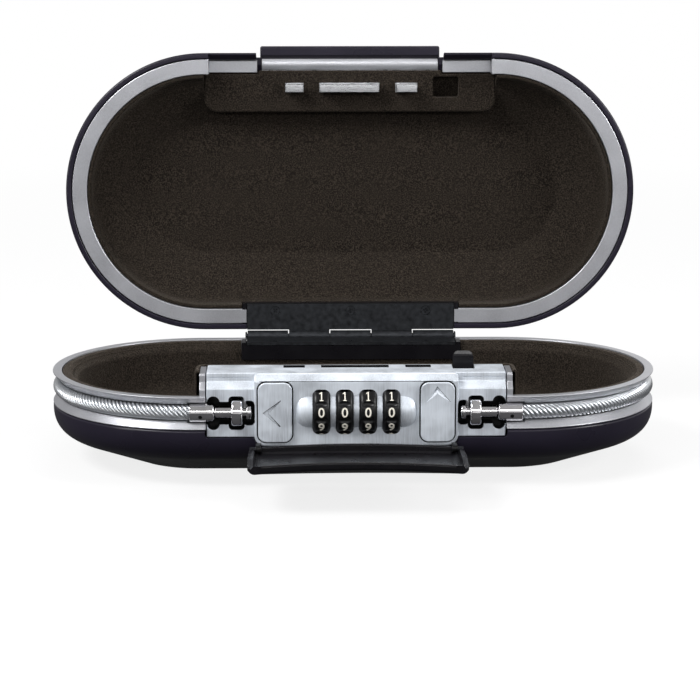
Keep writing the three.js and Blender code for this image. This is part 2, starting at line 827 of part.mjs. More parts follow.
function button(centreX) {
  const capBack = plateFront - runGap;
  const spanX = (half) => [centreX - half, centreX + half];
  const spanZ = (half) => [at(stemRise - half), at(stemRise + half)];
  const face = roundedRect(spanX(buttonWidth / 2), spanZ(buttonHeight / 2), buttonCorner);
  const cap = alongY(face, [capBack - buttonThickness, capBack]);
  const stemY = [capBack - 0.2, cavityFront + 0.5];
  const stem = box(spanX(stemSize / 2), stemY, spanZ(stemSize / 2));
  const flangeY = [cavityFront + 0.3, cavityFront + 1.5];
  const flange = box(spanX(flangeHalfWidth), flangeY, spanZ(flangeHalfHeight));
  const pin = rodY([cavityFront + 1, boltBack + 0.5], camPinRadius, [centreX, at(stemRise)]);
  return join(cap, stem, flange, pin);
}

// A small coil spring as one tube along a helix
const springRadius = 1.9;
const springWire = 0.3;
const springTurns = 4;
const springY = cavityFront + 3;

function coilSpring(length) {
  const perTurn = 8;
  const steps = springTurns * perTurn;
  const points = [];
  for (let i = 0; i <= steps; i += 1) {
    const angle = (i / perTurn) * Math.PI * 2;
    const rise = springWire + ((length - 2 * springWire) * i) / steps;
    const [x, y] = [springRadius * Math.cos(angle), springRadius * Math.sin(angle)];
    points.push(new THREE.Vector3(x, y, rise));
  }
  const corners = [0, 1, 2, 3, 4].map((i) => i * 0.4 * Math.PI);
  const section = corners.map((angle) => [springWire * Math.cos(angle), springWire * Math.sin(angle)]);
  const extrudePath = new THREE.CatmullRomCurve3(points);
  return new THREE.ExtrudeGeometry(shapeOf(section), { steps, bevelEnabled: false, extrudePath });
}

function openButtonSpring() {
  const foot = cavityBottom + seam;
  const geometry = coilSpring(stemRise - flangeHalfHeight - 0.2 - foot);
  geometry.translate(buttonX, springY, at(foot));
  return solid(geometry);
}

function cableButtonSpring() {
  const start = -buttonX + flangeHalfWidth + 0.2;
  const geometry = coilSpring(-roomInner - seam - start);
  geometry.rotateY(Math.PI / 2);
  geometry.translate(start, springY, at(stemRise));
  return solid(geometry);
}

// The sliding bar under the top face, with a window for each tang of the lid
function latchBar() {
  const [low, high] = [at(11), at(12.6)];
  const bar = box(barSpan, [tangFront - 1.2, tangFront + tangDepth + 1.5], [low, high]);
  const windowY = [tangFront - 0.5, tangFront + tangDepth + 0.6];
  const windows = tangSpans.map(([x0, x1]) => (
    box([x0 - 0.5, x1 + 0.5 + buttonTravel], windowY, [low - 1, high + 1])
  ));
  const bridge = box([camSpan[0], barSpan[1]], [boltTail[0], tangFront - 1], [low, high]);
  const cam = box(camSpan, boltTail, [at(-4), high]);
  const slot = camSlot(buttonX, buttonX + buttonTravel, stemRise + buttonTravel);
  return join(bar, bridge, cam).subtract(join(...windows)).subtract(slot);
}

function resetLever() {
  const x = [leverX - leverWidth / 2, leverX + leverWidth / 2];
  const front = leverBack - leverThickness;
  const outline = [
    [front - leverFoot, at(7.6)],
    [front - leverFoot, at(9.6)],
    [front, at(9.6)],
    [front, at(18.9)],
    [front + 0.8, at(19.6)],
    [leverBack - 0.3, at(20.5)],
    [leverBack, at(20.2)],
    [leverBack, at(7.6)],
  ];
  return alongX(outline, x);
}

// Cable and its ends

function cable() {
  const sides = 10;
  const section = [];
  for (let i = 0; i < sides; i += 1) {
    const angle = (i / sides) * Math.PI * 2;
    section.push([cableRadius - cableRadius * Math.cos(angle), cableRadius * Math.sin(angle)]);
  }
  const cut = ferruleOuter - 2.5;
  const gap = box([-cut, cut], [cutFront, cutBack], [0, caseHeight]);
  return stadium(section.map(toRing(1))).subtract(gap);
}

function mirrorX(points, side) {
  return side > 0 ? points : points.map(([x, r]) => [-x, r]).reverse();
}

function ferrule(side) {
  const bore = cableRadius + 0.3;
  const shank = neckRadius + 0.3;
  const floor = ferruleOuter - 3;
  const outline = [
    [ferruleOuter, bore],
    [ferruleOuter, ferruleRadius],
    [ferruleInner + 0.5, ferruleRadius],
    [ferruleInner, ferruleRadius - 0.5],
    [ferruleInner, shank],
    [floor, shank],
    [floor, bore],
    [ferruleOuter, bore],
  ];
  return turnedX(mirrorX(outline, side), [cableLineY, midZ], 14);
}

function cablePin(side) {
  const tipOuter = tipInner + tipLength;
  const stemRadius = 2.55;
  const outline = [
    [ferruleInner + 3, 0],
    [ferruleInner + 3, neckRadius],
    [ferruleInner - 0.3, neckRadius],
    [ferruleInner - 0.3, stemRadius],
    [collarOuter + 0.3, stemRadius],
    [collarOuter, collarRadius - 0.6],
    [collarOuter - 0.6, collarRadius],
    [collarInner + 0.6, collarRadius],
    [collarInner, collarRadius - 0.6],
    [collarInner, neckRadius],
    [tipOuter, neckRadius],
    [tipOuter, tipRadius],
    [tipInner + 0.7, tipRadius],
    [tipInner, tipRadius - 0.7],
    [tipInner, 0],
  ];
  return turnedX(mirrorX(outline, side), [cableLineY, midZ], 14);
}

// Back hinge

const hingeScrewPlaces = [-32, 0, 32].map((x) => [x, leafFront + 2.9]);
const knuckleLength = hingeLength / knuckleCount;

const hingeScrewHoles = (z, r) => join(...hingeScrewPlaces.map((place) => rodZ(z, r, place)));

// isLid picks which leaf: the base leaf has the odd knuckles, the lid leaf has the even ones
function hingeLeaf(isLid) {
  const z = isLid
    ? [at(rimRise), at(rimRise + leafThickness)]
    : [at(channelRise - leafThickness), at(channelRise)];
  const half = hingeLength / 2;
  let leaf = box([-half, half], [leafFront, outerRadius + 0.1], z);
  for (let i = 0; i < knuckleCount; i += 1) {
    if ((i % 2 === 1) !== isLid) continue;
    const x = [-half + i * knuckleLength + 0.2, -half + (i + 1) * knuckleLength - 0.2];
    const neck = box(x, [outerRadius - 0.4, hingeY], z);
    leaf = leaf.add(neck).add(rodX(x, knuckleRadius, [hingeY, hingeZ]));
  }
  const bore = rodX([-half - 1, half + 1], hingePinRadius + 0.2, [hingeY, hingeZ], 12);
  return leaf.subtract(bore).subtract(hingeScrewHoles([z[0] - 1, z[1] + 1], 2.2));
}

function hingePin() {
  const neck = hingeLength / 2 + 0.1;
  const end = neck + 0.7;
  const headRadius = 1.7;
  const outline = [
    [-end, 0],
    [-end, headRadius],
    [-neck, headRadius],
    [-neck, hingePinRadius],
    [neck, hingePinRadius],
    [neck, headRadius],
    [end, headRadius],
    [end, 0],
  ];
  return turnedX(outline, [hingeY, hingeZ], 12);
}

function hingeScrew(isLid, place) {
  const headZ = isLid ? at(rimRise) : at(channelRise);
  const down = isLid ? 1 : -1;
  const outline = [[0, 0], [0, 1.9], [leafThickness, 1], [4.6, 1], [4.6, 0]];
  return turnedZ(outline.map(([depth, r]) => [headZ + down * depth, r]), place);
}

// Lid, drawn closed and turned open at the end

function lidWindow() {
  const half = linerWallX;
  const centre = plateHalfWidth + 0.9;
  const low = at(channelRise - 1);
  const ends = endOutline(seam + 0.15, housingTop + 0.5, channelRise - 1, housingBack + 4.2);
  return join(
    box([-half, half], [cutFront, upperFront], [low, at(endRise + 0.45)]),
    alongX(ends, [-half, half]),
    box([-centre, centre], [cutFront, upperFront], [low, at(housingTop + 0.6)]),
  );
}

// Silver panels of the lid beside the latch, and the pocket over the reset lever
const panelY = [plateFront + 3.9, plateFront + 9];
const panelRise = [shelfRise, shelfRise + 1];
const panelInner = plateHalfWidth + 0.6;
const strikerTop = strikerRise + strikerThickness;

function leverPocket() {
  const y = [plateFront + 10.3, plateFront + 19.1];
  return box([leverX - 6, leverX + 5], y, [at(14), caseHeight]);
}

function lidShell() {
  const shell = shellHalf(rimRise, 1);
  const bump = [
    [bulgeFront, at(16.3)],
    [bulgeFront, at(17.4)],
    [bulgeFront + 0.8, at(19.4)],
    [bulgeFront + 2.4, at(20.6)],
    [bulgeFront + 15, at(20.6)],
    [bulgeFront + 15, at(16.3)],
  ];
  const bulge = alongX(bump, [-bulgeHalfWidth, bulgeHalfWidth]);
  const strikerRoom = box(
    [-strikerHalfWidth - seam, strikerHalfWidth + seam],
    [plateFront + 1.3, strikerBack + 2.4],
    [at(13), at(strikerTop + seam)],
  );
  const panelRoom = bothSides(
    [panelInner - seam, linerWallX + 0.5],
    [panelY[0] - seam, panelY[1]],
    [at(panelRise[0] - 1), at(panelRise[1] + seam)],
  );
  const pocket = leverPocket().intersect(cavity(rimRise, 1, shellWall - 1));
  const half = hingeLength / 2 + seam;
  const leafTop = at(rimRise + leafThickness + 0.2);
  const leafRoom = box([-half, half], [leafFront, outerRadius + 1], [midZ, leafTop]);
  const rooms = join(strikerRoom, lidWindow(), panelRoom, pocket, leafRoom, strikerScrewHoles(1.3));
  return shell.add(bulge.subtract(cavity(rimRise, 1, shellWall))).subtract(rooms);
}

function lidFrame() {
  const legInset = bandInset + 1.2;
  const section = [
    [bandInset, rimRise],
    [bandInset, legRise],
    [legInset, legRise],
    [legInset, rimRise + bandThickness],
    [bandInset + bandWidth, rimRise + bandThickness],
    [bandInset + bandWidth, rimRise],
  ];
  const ring = stadium(section.map(toRing(1)));
  const opening = box([-linerWallX, linerWallX], [cutFront, cutBack], [0, caseHeight]);
  const room = cavity(rimRise, 1, shellWall + seam);
  const stepX = [linerWallX, linerWallX + 1.2];
  const steps = bothSides(stepX, [-outerRadius, panelY[1]], [at(rimRise), at(panelRise[1])]);
  const panels = bothSides([panelInner, linerWallX + 0.1], panelY, panelRise.map(at));
  const half = hingeLength / 2 + landMargin;
  const landBack = outerRadius - bandInset;
  const land = box([-half, half], [landFront, landBack], [at(rimRise), at(rimRise + 4.4)]);
  const leafRoom = box(
    [-hingeLength / 2 - seam, hingeLength / 2 + seam],
    [leafFront - 1, outerRadius],
    [midZ, at(rimRise + leafThickness + 0.2)],
  );
  const screws = hingeScrewHoles([at(rimRise - 1), at(rimRise + 5)], 1.3);
  return ring.add(land).intersect(room).subtract(opening).add(steps.intersect(room))
    .add(panels).subtract(leafRoom).subtract(screws);
}

function lidLiner() {
  const edge = bandInset + bandWidth + seam;
  const legTop = legRise + seam;
  const outline = [
    [edge, rimRise + 0.2],
    [edge, rimRise + bandThickness + seam],
    [bandInset + 1.5, rimRise + bandThickness + seam],
    [bandInset + 1.5, legTop],
    ...foamBack(legTop + 1).reverse(),
    ...foamFace(edge + 1.3, rimRise + 0.2).reverse(),
  ];
  const bowl = stadium(outline.map(toRing(1)));
  const wallOuter = linerWallX + linerWall + 0.4;
  const shelfBack = linerWallBack + 2;
  const shelfTop = shelfRise + shelfThickness;
  const shelfZ = [at(shelfRise), at(shelfTop + 2)];
  const lockRoom = box([-wallOuter, wallOuter], [cutFront, shelfBack - 1.6], [midZ, at(shelfTop)]);
  const shelfEnds = box([-wallOuter, wallOuter], [panelY[1] + seam, shelfBack], shelfZ);
  const shelfMiddle = box([-plateHalfWidth, plateHalfWidth], [plateFront + 6.6, shelfBack], shelfZ);
  const room = cavity(rimRise, 1, shellWall + seam);
  const shelf = shelfEnds.add(shelfMiddle).intersect(room);
  const plateHalf = strikerHalfWidth + 0.4;
  const plateSpan = [-plateHalf, plateHalf];
  const noseTop = at(strikerTop + seam);
  const half = hingeLength / 2 + landMargin + seam;
  const tangY = [tangFront - 0.4, tangFront + tangDepth + 0.4];
  const rooms = [
    box(plateSpan, [plateFront + 1.2, strikerBack + seam], [at(shelfTop), noseTop]),
    box(plateSpan, [plateFront - 1.5, strikerFront + seam], [at(10), noseTop]),
    bothSides(
      [panelInner - seam, wallOuter],
      [plateFront + 1.5, panelY[1] + seam],
      [at(9), at(panelRise[1] + seam)],
    ),
    box([-half, half], [landFront - 0.4, outerRadius], [midZ, at(rimRise + 4.8)]),
    leverPocket(),
    ...tangSpans.map(([x0, x1]) => box([x0 - 0.4, x1 + 0.4], tangY, [at(15), at(18)])),
  ];
  return bowl.subtract(lockRoom).add(shelf).subtract(join(...rooms));
}

// Striker plate with its three tangs, each with a hook at its left end
function strikerScrewHoles(r) {
  const z = [at(16), at(strikerTop + 1.9)];
  return join(...strikerScrewPlaces.map((place) => rodZ(z, r, place)));
}

function strikerPlate() {
  const z = [at(strikerRise), at(strikerTop)];
  const x = [-strikerHalfWidth, strikerHalfWidth];
  const plate = box(x, [strikerFront, strikerBack], z);
  const nose = box(x, [plateFront + 1.6, strikerFront + 0.2], [at(housingTop + 0.7), z[1]]);
  const y = [tangFront, tangFront + tangDepth];
  const notchY = [y[0] - 1, y[1] + 1];
  const tangs = tangSpans.map(([x0, x1]) => {
    const tang = box([x0, x1], y, [at(9.3), at(strikerRise + 0.1)]);
    return tang.subtract(box([x0 - 1, x0 + 1.4], notchY, [at(10.7), at(13)]));
  });
  const leverY = [plateFront + 10.1, plateFront + 19.5];
  const lever = box([leverX - 6.5, plateHalfWidth + 1.4], leverY, [at(10), at(20)]);
  const holes = strikerScrewPlaces.map((place) => rodZ([z[0] - 1, z[1] + 1], 2.2, place));
  return join(plate, nose, ...tangs).subtract(join(lever, ...holes));
}

function strikerScrew(place) {
  const outline = [[0, 0], [0, 1.9], [1.1, 1], [2.8, 1], [2.8, 0]];
  return turnedZ(outline.map(([depth, r]) => [at(strikerRise + depth), r]), place);
}

// Cover, drawn closed over the dials and folded down at the end

function coverPinHoles(x0, x1) {
  const yz = [coverHingeY, at(coverHingeRise)];
  const r = coverPinRadius + 0.2;
  return join(rodX([x0, x1], r, yz), rodX([-x1, -x0], r, yz));
}

function cover() {
  const face = coverFace;
  const sideBack = plateFront - 1.55;
  const topEdge = [face + coverLean + coverEdge, coverTop];
  const outer = [
    [face + 5.6, -15.3],
    [face + 2.3, -15.3],
    [face + 0.7, -14.5],
    [face, -12.5],
    [face, coverCrease],
    [face + coverLean, coverTop],
  ];
  const inner = [
    topEdge,
    [face + coverWall, coverCrease - 0.3],
    [face + coverWall, -12.6],
    [face + coverWall + 0.8, -13.4],
    [face + 5.6, -13.4],
  ];
  const side = [
    ...outer.slice(1),
    topEdge,
    [sideBack, coverTop - 0.7],
    [sideBack, -14],
    [sideBack - 0.35, -15.3],
  ];
  const raised = ([y, rise]) => [y, at(rise)];
  const inside = coverHalfWidth - coverWall;
  const tray = alongX([...outer, ...inner].map(raised), [-coverHalfWidth, coverHalfWidth]);
  const walls = join(
    alongX(side.map(raised), [inside, coverHalfWidth]),
    alongX(side.map(raised), [-coverHalfWidth, -inside]),
  );
  const lugX = [lugInner - 0.4, inside + 0.05];
  const lugRoom = join(
    bothSides(lugX, [face + coverWall, plateFront], [at(-16), at(-10.8)]),
    bothSides(lugX, [face - 1, plateFront], [at(-16), at(-14.2)]),
  );
  const height = [at(-15.4), at(coverTop + 0.1)];
  const outline = roundedRect([-coverHalfWidth, coverHalfWidth], height, buttonCorner);
  const rounded = alongY(outline, [face - 1, plateFront + 1]);
  const pinHoles = coverPinHoles(inside - 1, coverHalfWidth + 1);
  return tray.add(walls).subtract(lugRoom).intersect(rounded).subtract(pinHoles);
}

function coverPin(side) {
  const ends = [side * (lugInner - 0.2), side * (coverHalfWidth - 0.2)].sort((a, b) => a - b);
  return rodX(ends, coverPinRadius, [coverHingeY, at(coverHingeRise)], 12);
}

// Assembly

// Numbered pieces, one for each place in a list
function pieces(name, look, places, make) {
  return places.map((place, i) => piece(`${name}_${i + 1}`, look, make(place)));
}

const safe = new THREE.Group();
safe.name = 'car_safe';

const baseParts = [
  piece('base_shell', 'shell', baseShell()),
  piece('base_frame', 'silver', baseFrame()),
  piece('base_liner', 'foam', baseLiner()),
  piece('lock_housing', 'zinc', lockHousing()),
  piece('lock_back_plate', 'steel', backPlate()),
  ...pieces('back_plate_screw', 'steel', backScrewPlaces, backScrew),
  piece('lock_side_screw_left', 'steel', sideScrew(-1)),
  piece('lock_side_screw_right', 'steel', sideScrew(1)),
  piece('dial_shaft', 'steel', dialShaft()),
  piece('detent_spring', 'steel', detentSpring()),
  piece('open_button', 'zinc', button(buttonX)),
  piece('open_button_spring', 'steel', openButtonSpring()),
  piece('latch_bar', 'steel', latchBar()),
  piece('cable_button', 'zinc', button(-buttonX)),
  piece('cable_button_spring', 'steel', cableButtonSpring()),
  piece('cable_bolt', 'steel', cableBolt()),
  piece('reset_lever', 'blackPlastic', resetLever()),
  piece('cable', 'cable', cable()),
  piece('cable_ferrule_left', 'steel', ferrule(-1)),
  piece('cable_ferrule_right', 'steel', ferrule(1)),
  piece('cable_pin_left', 'chrome', cablePin(-1)),
  piece('cable_pin_right', 'chrome', cablePin(1)),
  piece('cable_anchor_clip', 'steel', anchorClip()),
  piece('hinge_leaf_base', 'steel', hingeLeaf(false)),
  ...pieces('hinge_screw_base', 'steel', hingeScrewPlaces, (place) => hingeScrew(false, place)),
  piece('hinge_pin', 'steel', hingePin()),
  piece('cover_pin_left', 'steel', coverPin(-1)),
  piece('cover_pin_right', 'steel', coverPin(1)),
  ...pieces('dial', 'blackPlastic', dialCentres, dial),
  ...pieces('dial_sleeve', 'steel', dialCentres, dialSleeve),
];
safe.add(...baseParts);

// A group that turns about an axis along X through (y, z)
function turnedGroup([y, z], degrees, parts) {
  const group = new THREE.Group();
  group.position.set(0, y, z);
  group.rotation.x = THREE.MathUtils.degToRad(degrees);
  for (const part of parts) {
    part.position.set(0, -y, -z);
    group.add(part);
  }
  return group;
}

safe.add(turnedGroup([hingeY, hingeZ], -lidOpenAngle, [
  piece('lid_shell', 'shell', lidShell()),
  piece('lid_frame', 'silver', lidFrame()),
  piece('lid_liner', 'foam', lidLiner()),
  piece('striker_plate', 'silver', strikerPlate()),
  ...pieces('striker_screw', 'steel', strikerScrewPlaces, strikerScrew),
  piece('hinge_leaf_lid', 'steel', hingeLeaf(true)),
  ...pieces('hinge_screw_lid', 'steel', hingeScrewPlaces, (place) => hingeScrew(true, place)),
]));

safe.add(turnedGroup([coverHingeY, at(coverHingeRise)], coverOpenAngle, [
  piece('cover', 'blackPlastic', cover()),
]));

export default safe;
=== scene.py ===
"""Portable car safe: the finished pieces that are seen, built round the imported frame.

Sizes in this file are millimetres, as in the part's source, and every mesh is made in metres.
Heights called rise are measured from the plane of the wire rope. The lid and the cover are drawn
shut and then turned to the open pose in which the frame rests.
"""

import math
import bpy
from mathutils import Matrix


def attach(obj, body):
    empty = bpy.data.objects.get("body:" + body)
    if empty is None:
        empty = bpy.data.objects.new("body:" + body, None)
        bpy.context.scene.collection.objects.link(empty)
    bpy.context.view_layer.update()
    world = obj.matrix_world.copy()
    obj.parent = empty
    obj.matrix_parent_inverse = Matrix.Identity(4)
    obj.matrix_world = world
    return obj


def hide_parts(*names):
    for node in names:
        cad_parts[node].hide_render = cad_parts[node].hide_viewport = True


bl_info = {
    "name": "Portable Car Safe",
    "version": (1, 0, 0),
    "blender": (4, 5, 0),
    "location": "3D View > Sidebar > Car Safe",
    "description": "Builds the finished pieces of a portable car safe round its frame",
    "category": "Add Mesh",
}

import bmesh
import bpy
from mathutils import Matrix, Vector

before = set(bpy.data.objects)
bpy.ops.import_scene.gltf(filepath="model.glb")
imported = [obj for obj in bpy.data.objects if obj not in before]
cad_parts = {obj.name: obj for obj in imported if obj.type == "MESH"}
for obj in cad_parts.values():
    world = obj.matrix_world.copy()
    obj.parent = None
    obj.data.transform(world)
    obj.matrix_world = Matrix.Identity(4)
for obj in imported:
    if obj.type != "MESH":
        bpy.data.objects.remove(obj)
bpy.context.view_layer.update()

MM = 0.001

# Case
CASE_DEPTH = 117.0
CASE_WIDTH = 240.0
HALF_HEIGHT = 30.0
OUTER_RADIUS = CASE_DEPTH / 2
END_CENTRE = CASE_WIDTH / 2 - OUTER_RADIUS
SHELL_WALL = 2.3
WALL_RISE = 8.5
SHOULDER_INSET = 7.5
SHOULDER_RISE = 19.55
SLOPE = 0.394
SEAM = 0.3
FOAM = 2.7
FLOOR_INSET = 31.0
FLAT_INSET = SHOULDER_INSET + (HALF_HEIGHT - SHOULDER_RISE) / SLOPE
FOAM_FLOOR = HALF_HEIGHT - SHELL_WALL - SEAM - FOAM

# Rim
ROPE_RADIUS = 3.0
GROOVE_RADIUS = 3.3
CHANNEL_RISE = 6.3
RIM_RISE = 6.7
CHANNEL_DEPTH = 7.6
CHANNEL_LAND = 3.5
CHANNEL_STEP = 1.8
BAND_INSET = 2.6
BAND_WIDTH = 6.3
BAND_THICKNESS = 2.2
ROPE_Y = ROPE_RADIUS - OUTER_RADIUS
ROPE_END = 60.5

# Lock
HOUSING_HALF = 56.6
PLATE_HALF = 38.6
PLATE_TOP = 12.6
PLATE_BOTTOM = -12.7
HOUSING_TOP = 15.1
PLATE_FRONT = -OUTER_RADIUS
END_FRONT = PLATE_FRONT + 1.3
END_RISE = 9.35
UPPER_FRONT = PLATE_FRONT + 3.6
HOUSING_BACK = PLATE_FRONT + 18.3
DIAL_PITCH = 8.8
DIAL_WIDTH = 6.3
DIAL_RADIUS = 10.0
DIAL_Y = PLATE_FRONT + 5.65
DIAL_RISE = 0.6
NUMBER_COUNT = 10
NUMBER_STEP = 360 / NUMBER_COUNT
NUMBER_TILT = 4.0
NUMBER_WIDTH = 2.5
NUMBER_RELIEF = 0.13
NUMBER_ROOT = 0.2
SCOOP_HALF = (2.2, 1.3)
SCOOP_DEPTH = 0.8
DIAL_PLACES = [(i - 1.5) * DIAL_PITCH for i in range(4)]
BULGE_HALF = 22.75
BUTTON_X = 30.7
BUTTON_HALF = (6.4, 11.5)
ROOM_FRONT = -56.2
SLOT_SPAN = (41.35, 43.05)
CAP_FRONT = PLATE_FRONT - 1.25
CAP_BACK = PLATE_FRONT - 0.25
MARK_FRONT = PLATE_FRONT - 1.9
MARK_FLOOR = PLATE_FRONT - 0.9
TANG_FRONT = PLATE_FRONT + 13.3
TANG_DEPTH = 3.2
TANG_SPANS = [(-27.0, -20.0), (-12.6, 12.1), (19.6, 28.2)]
LEVER_X = 41.15
LINER_WALL_X = HOUSING_HALF + 2.9
LINER_WALL = 1.8
LINER_WALL_BACK = HOUSING_BACK + 4.9
SHELF_RISE = 15.6
ROOM_TOP = 18.6
STRIKER_HALF = 37.2
STRIKER_RISE = 17.1
TIP_ROOM = (39.4, 57.6)
CUT_FRONT = -80.0
CUT_BACK = -36.0
LINER_FRONT = -49.2
SHELF_HALF = LINER_WALL_X + 2.2
STRIKER_SCREWS = (-33.5, 33, -15, 15)
STRIKER_SCREW_Y = -49.0
SIDE_SCREW_Y = -45.5
BAND_GAP = LINER_WALL_X

# Back hinge
HINGE_Y = OUTER_RADIUS + 2.7
HINGE_RISE = CHANNEL_RISE + 0.2
HINGE_HALF = 44.0
LEAF = 1.2
LEAF_FRONT = OUTER_RADIUS - 10.9
LAND_FRONT = LEAF_FRONT - 0.4
LAND_HALF = HINGE_HALF + 2
HINGE_SCREWS = (-32, 0, 32)
HINGE_SCREW_Y = LEAF_FRONT + 2.9
LEAF_ROOM = (-HINGE_HALF - SEAM, HINGE_HALF + SEAM)
HINGE_ROOM = (-LAND_HALF - SEAM, LAND_HALF + SEAM)
LID_OPEN = 92.0

# Cover
COVER_HALF = 40.5
COVER_HINGE_Y = PLATE_FRONT - 3.5
COVER_HINGE_RISE = -13.0
COVER_CREASE = 9.4
COVER_TOP = 22.7
COVER_BOTTOM = -15.3
COVER_FACE = -65.8
COVER_FLOOR = -63.8
COVER_EDGE = -58.5
COVER_END = 39.5


def at(rise):
    """Height above the table of something that is rise above the rope's plane."""
    return HALF_HEIGHT + rise


def rises(low, high):
    return (at(low), at(high))


def centred(half):
    """A span that reaches as far to the left as to the right."""
    return (-half, half)


def lifted(points):
    """An outline whose second numbers are rises, with heights instead."""
    return [(along, at(rise)) for along, rise in points]


# Outlines


def rounded(points, radii, steps=5):
    """Round the corners of a closed outline. radii is one radius, or a radius by corner number."""
    outline = []
    for number, point in enumerate(points):
        radius = radii.get(number, 0) if isinstance(radii, dict) else radii
        corner = Vector(point)
        before = Vector(points[number - 1]) - corner
        after = Vector(points[(number + 1) % len(points)]) - corner
        angle = before.angle(after)
        if radius <= 0 or angle > math.radians(178):
            outline.append(tuple(corner))
            continue
        reach = min(radius / math.tan(angle / 2), 0.48 * before.length, 0.48 * after.length)
        radius = reach * math.tan(angle / 2)
        inward = (before.normalized() + after.normalized()).normalized()
        middle = corner + inward * radius / math.sin(angle / 2)
        start = corner + before.normalized() * reach - middle
        end = corner + after.normalized() * reach - middle
        first = math.atan2(start.y, start.x)
        turn = (math.atan2(end.y, end.x) - first + math.pi) % (2 * math.pi) - math.pi
        count = max(1, math.ceil(steps * abs(turn) / (math.pi / 2)))
        for step in range(count + 1):
            heading = first + turn * step / count
            outline.append(
                (middle.x + radius * math.cos(heading), middle.y + radius * math.sin(heading))
            )
    return outline


def rounded_box(x, z, radii, steps=6):
    corners = [(x[0], z[0]), (x[1], z[0]), (x[1], z[1]), (x[0], z[1])]
    return rounded(corners, radii, steps)


def curve_through(start, pull, end, steps):
    """Points on a quadratic curve."""
    points = []
    for step in range(steps + 1):
        t = step / steps
        weights = ((1 - t) ** 2, 2 * t * (1 - t), t * t)
        points.append(tuple(
            weights[0] * a + weights[1] * b + weights[2] * c for a, b, c in zip(start, pull, end)
        ))
    return points


def case_section(rim_rise):
    """The outside of half the case as (inset, rise) points, from the rim to the flat face."""
    corner_rise = SHOULDER_RISE - SHOULDER_INSET * SLOPE
    shoulder = curve_through((0, WALL_RISE), (0, corner_rise), (SHOULDER_INSET, SHOULDER_RISE), 16)
    return [(0, rim_rise)] + shoulder + [(FLAT_INSET, HALF_HEIGHT)]


def moved_in(points, distance):
    """The same section moved inwards, square to itself."""
    normals = []
    for (inset_a, rise_a), (inset_b, rise_b) in zip(points, points[1:]):
        length = math.hypot(inset_b - inset_a, rise_b - rise_a)
        normals.append(((rise_b - rise_a) / length, -(inset_b - inset_a) / length))
    normals.append((0, -1))
    moved = []
    for number, (inset, rise) in enumerate(points):
        before, after = normals[max(number - 1, 0)], normals[number]
        along = 1 + before[0] * after[0] + before[1] * after[1]
        drop = 0 if number == 0 else distance * (before[1] + after[1]) / along
        moved.append((inset + distance * (before[0] + after[0]) / along, rise + drop))
    return moved


def foam_face(edge_inset, edge_rise):
    """Inner face of a lining, from its rim to the middle of its floor."""
    shoulder = curve_through(
        (edge_inset + 0.4, 9.5), (edge_inset + 0.8, 13.4), (edge_inset + 4.4, 15.4), 8
    )
    return [(edge_inset, edge_rise)] + shoulder + [
        (FLOOR_INSET, FOAM_FLOOR), (OUTER_RADIUS, FOAM_FLOOR)
    ]


def foam_back(from_rise):
    """Outer face of a lining, along the shell."""
    back = [p for p in moved_in(case_section(0), SHELL_WALL + SEAM) if p[1] > from_rise]
    return back + [(OUTER_RADIUS, back[-1][1])]


# Meshes


def in_scene(name, data):
    """An object with this mesh, text, lamp or camera, in the scene."""
    made = bpy.data.objects.new(name, data)
    bpy.context.scene.collection.objects.link(made)
    return made


def as_seen(made):
    """A plain mesh of an object as its modifiers leave it."""
    bpy.context.view_layer.update()
    evaluated = made.evaluated_get(bpy.context.evaluated_depsgraph_get())
    return bpy.data.meshes.new_from_object(evaluated)


def new_piece(name, points, faces):
    mesh = bpy.data.meshes.new(name)
    mesh.from_pydata([Vector(point) * MM for point in points], [], faces)
    piece = in_scene(name, mesh)
    close_up(piece)
    return piece


def close_up(piece):
    """Merge doubled points, so that seams and poles are closed, and turn the faces outwards."""
    work = bmesh.new()
    work.from_mesh(piece.data)
    bmesh.ops.remove_doubles(work, verts=work.verts, dist=0.002 * MM)
    bmesh.ops.recalc_face_normals(work, faces=work.faces)
    work.to_mesh(piece.data)
    work.free()


def loops_to_faces(count, loops, closed):
    """Faces between loops of points that lie one after the other."""
    faces = []
    for loop in range(loops if closed else loops - 1):
        start, following = loop * count, (loop + 1) % loops * count
        for point in range(count):
            after = (point + 1) % count
            faces.append((start + point, following + point, following + after, start + after))
    if not closed:
        faces += [tuple(range(count)), tuple(range((loops - 1) * count, loops * count))]
    return faces


def prism(name, outline, span, axis):
    """Extrude an outline of (y, z), (x, z) or (x, y) points along X, Y or Z."""
    place = {
        "X": lambda u, v, w: (w, u, v),
        "Y": lambda u, v, w: (u, w, v),
        "Z": lambda u, v, w: (u, v, w),
    }[axis]
    points = [place(u, v, w) for w in span for u, v in outline]
    return new_piece(name, points, loops_to_faces(len(outline), 2, False))


def brick(name, x, y, z):
    return prism(name, [(x[0], y[0]), (x[1], y[0]), (x[1], y[1]), (x[0], y[1])], z, "Z")


def turned(name, outline, axis, centre, segments=48):
    """Turn a closed outline of (along, radius) points about an axis through centre."""
    place = {
        "X": lambda a, u, v: (a, centre[0] + u, centre[1] + v),
        "Y": lambda a, u, v: (centre[0] + u, a, centre[1] + v),
        "Z": lambda a, u, v: (centre[0] + u, centre[1] + v, a),
    }[axis]
    points = []
    for segment in range(segments):
        heading = 2 * math.pi * segment / segments
        for along, radius in outline:
            points.append(place(along, radius * math.cos(heading), radius * math.sin(heading)))
    return new_piece(name, points, loops_to_faces(len(outline), segments, True))


def rod(name, span, radius, axis, centre, segments=48):
    outline = [(span[0], 0), (span[0], radius), (span[1], radius), (span[1], 0)]
    return turned(name, outline, axis, centre, segments)


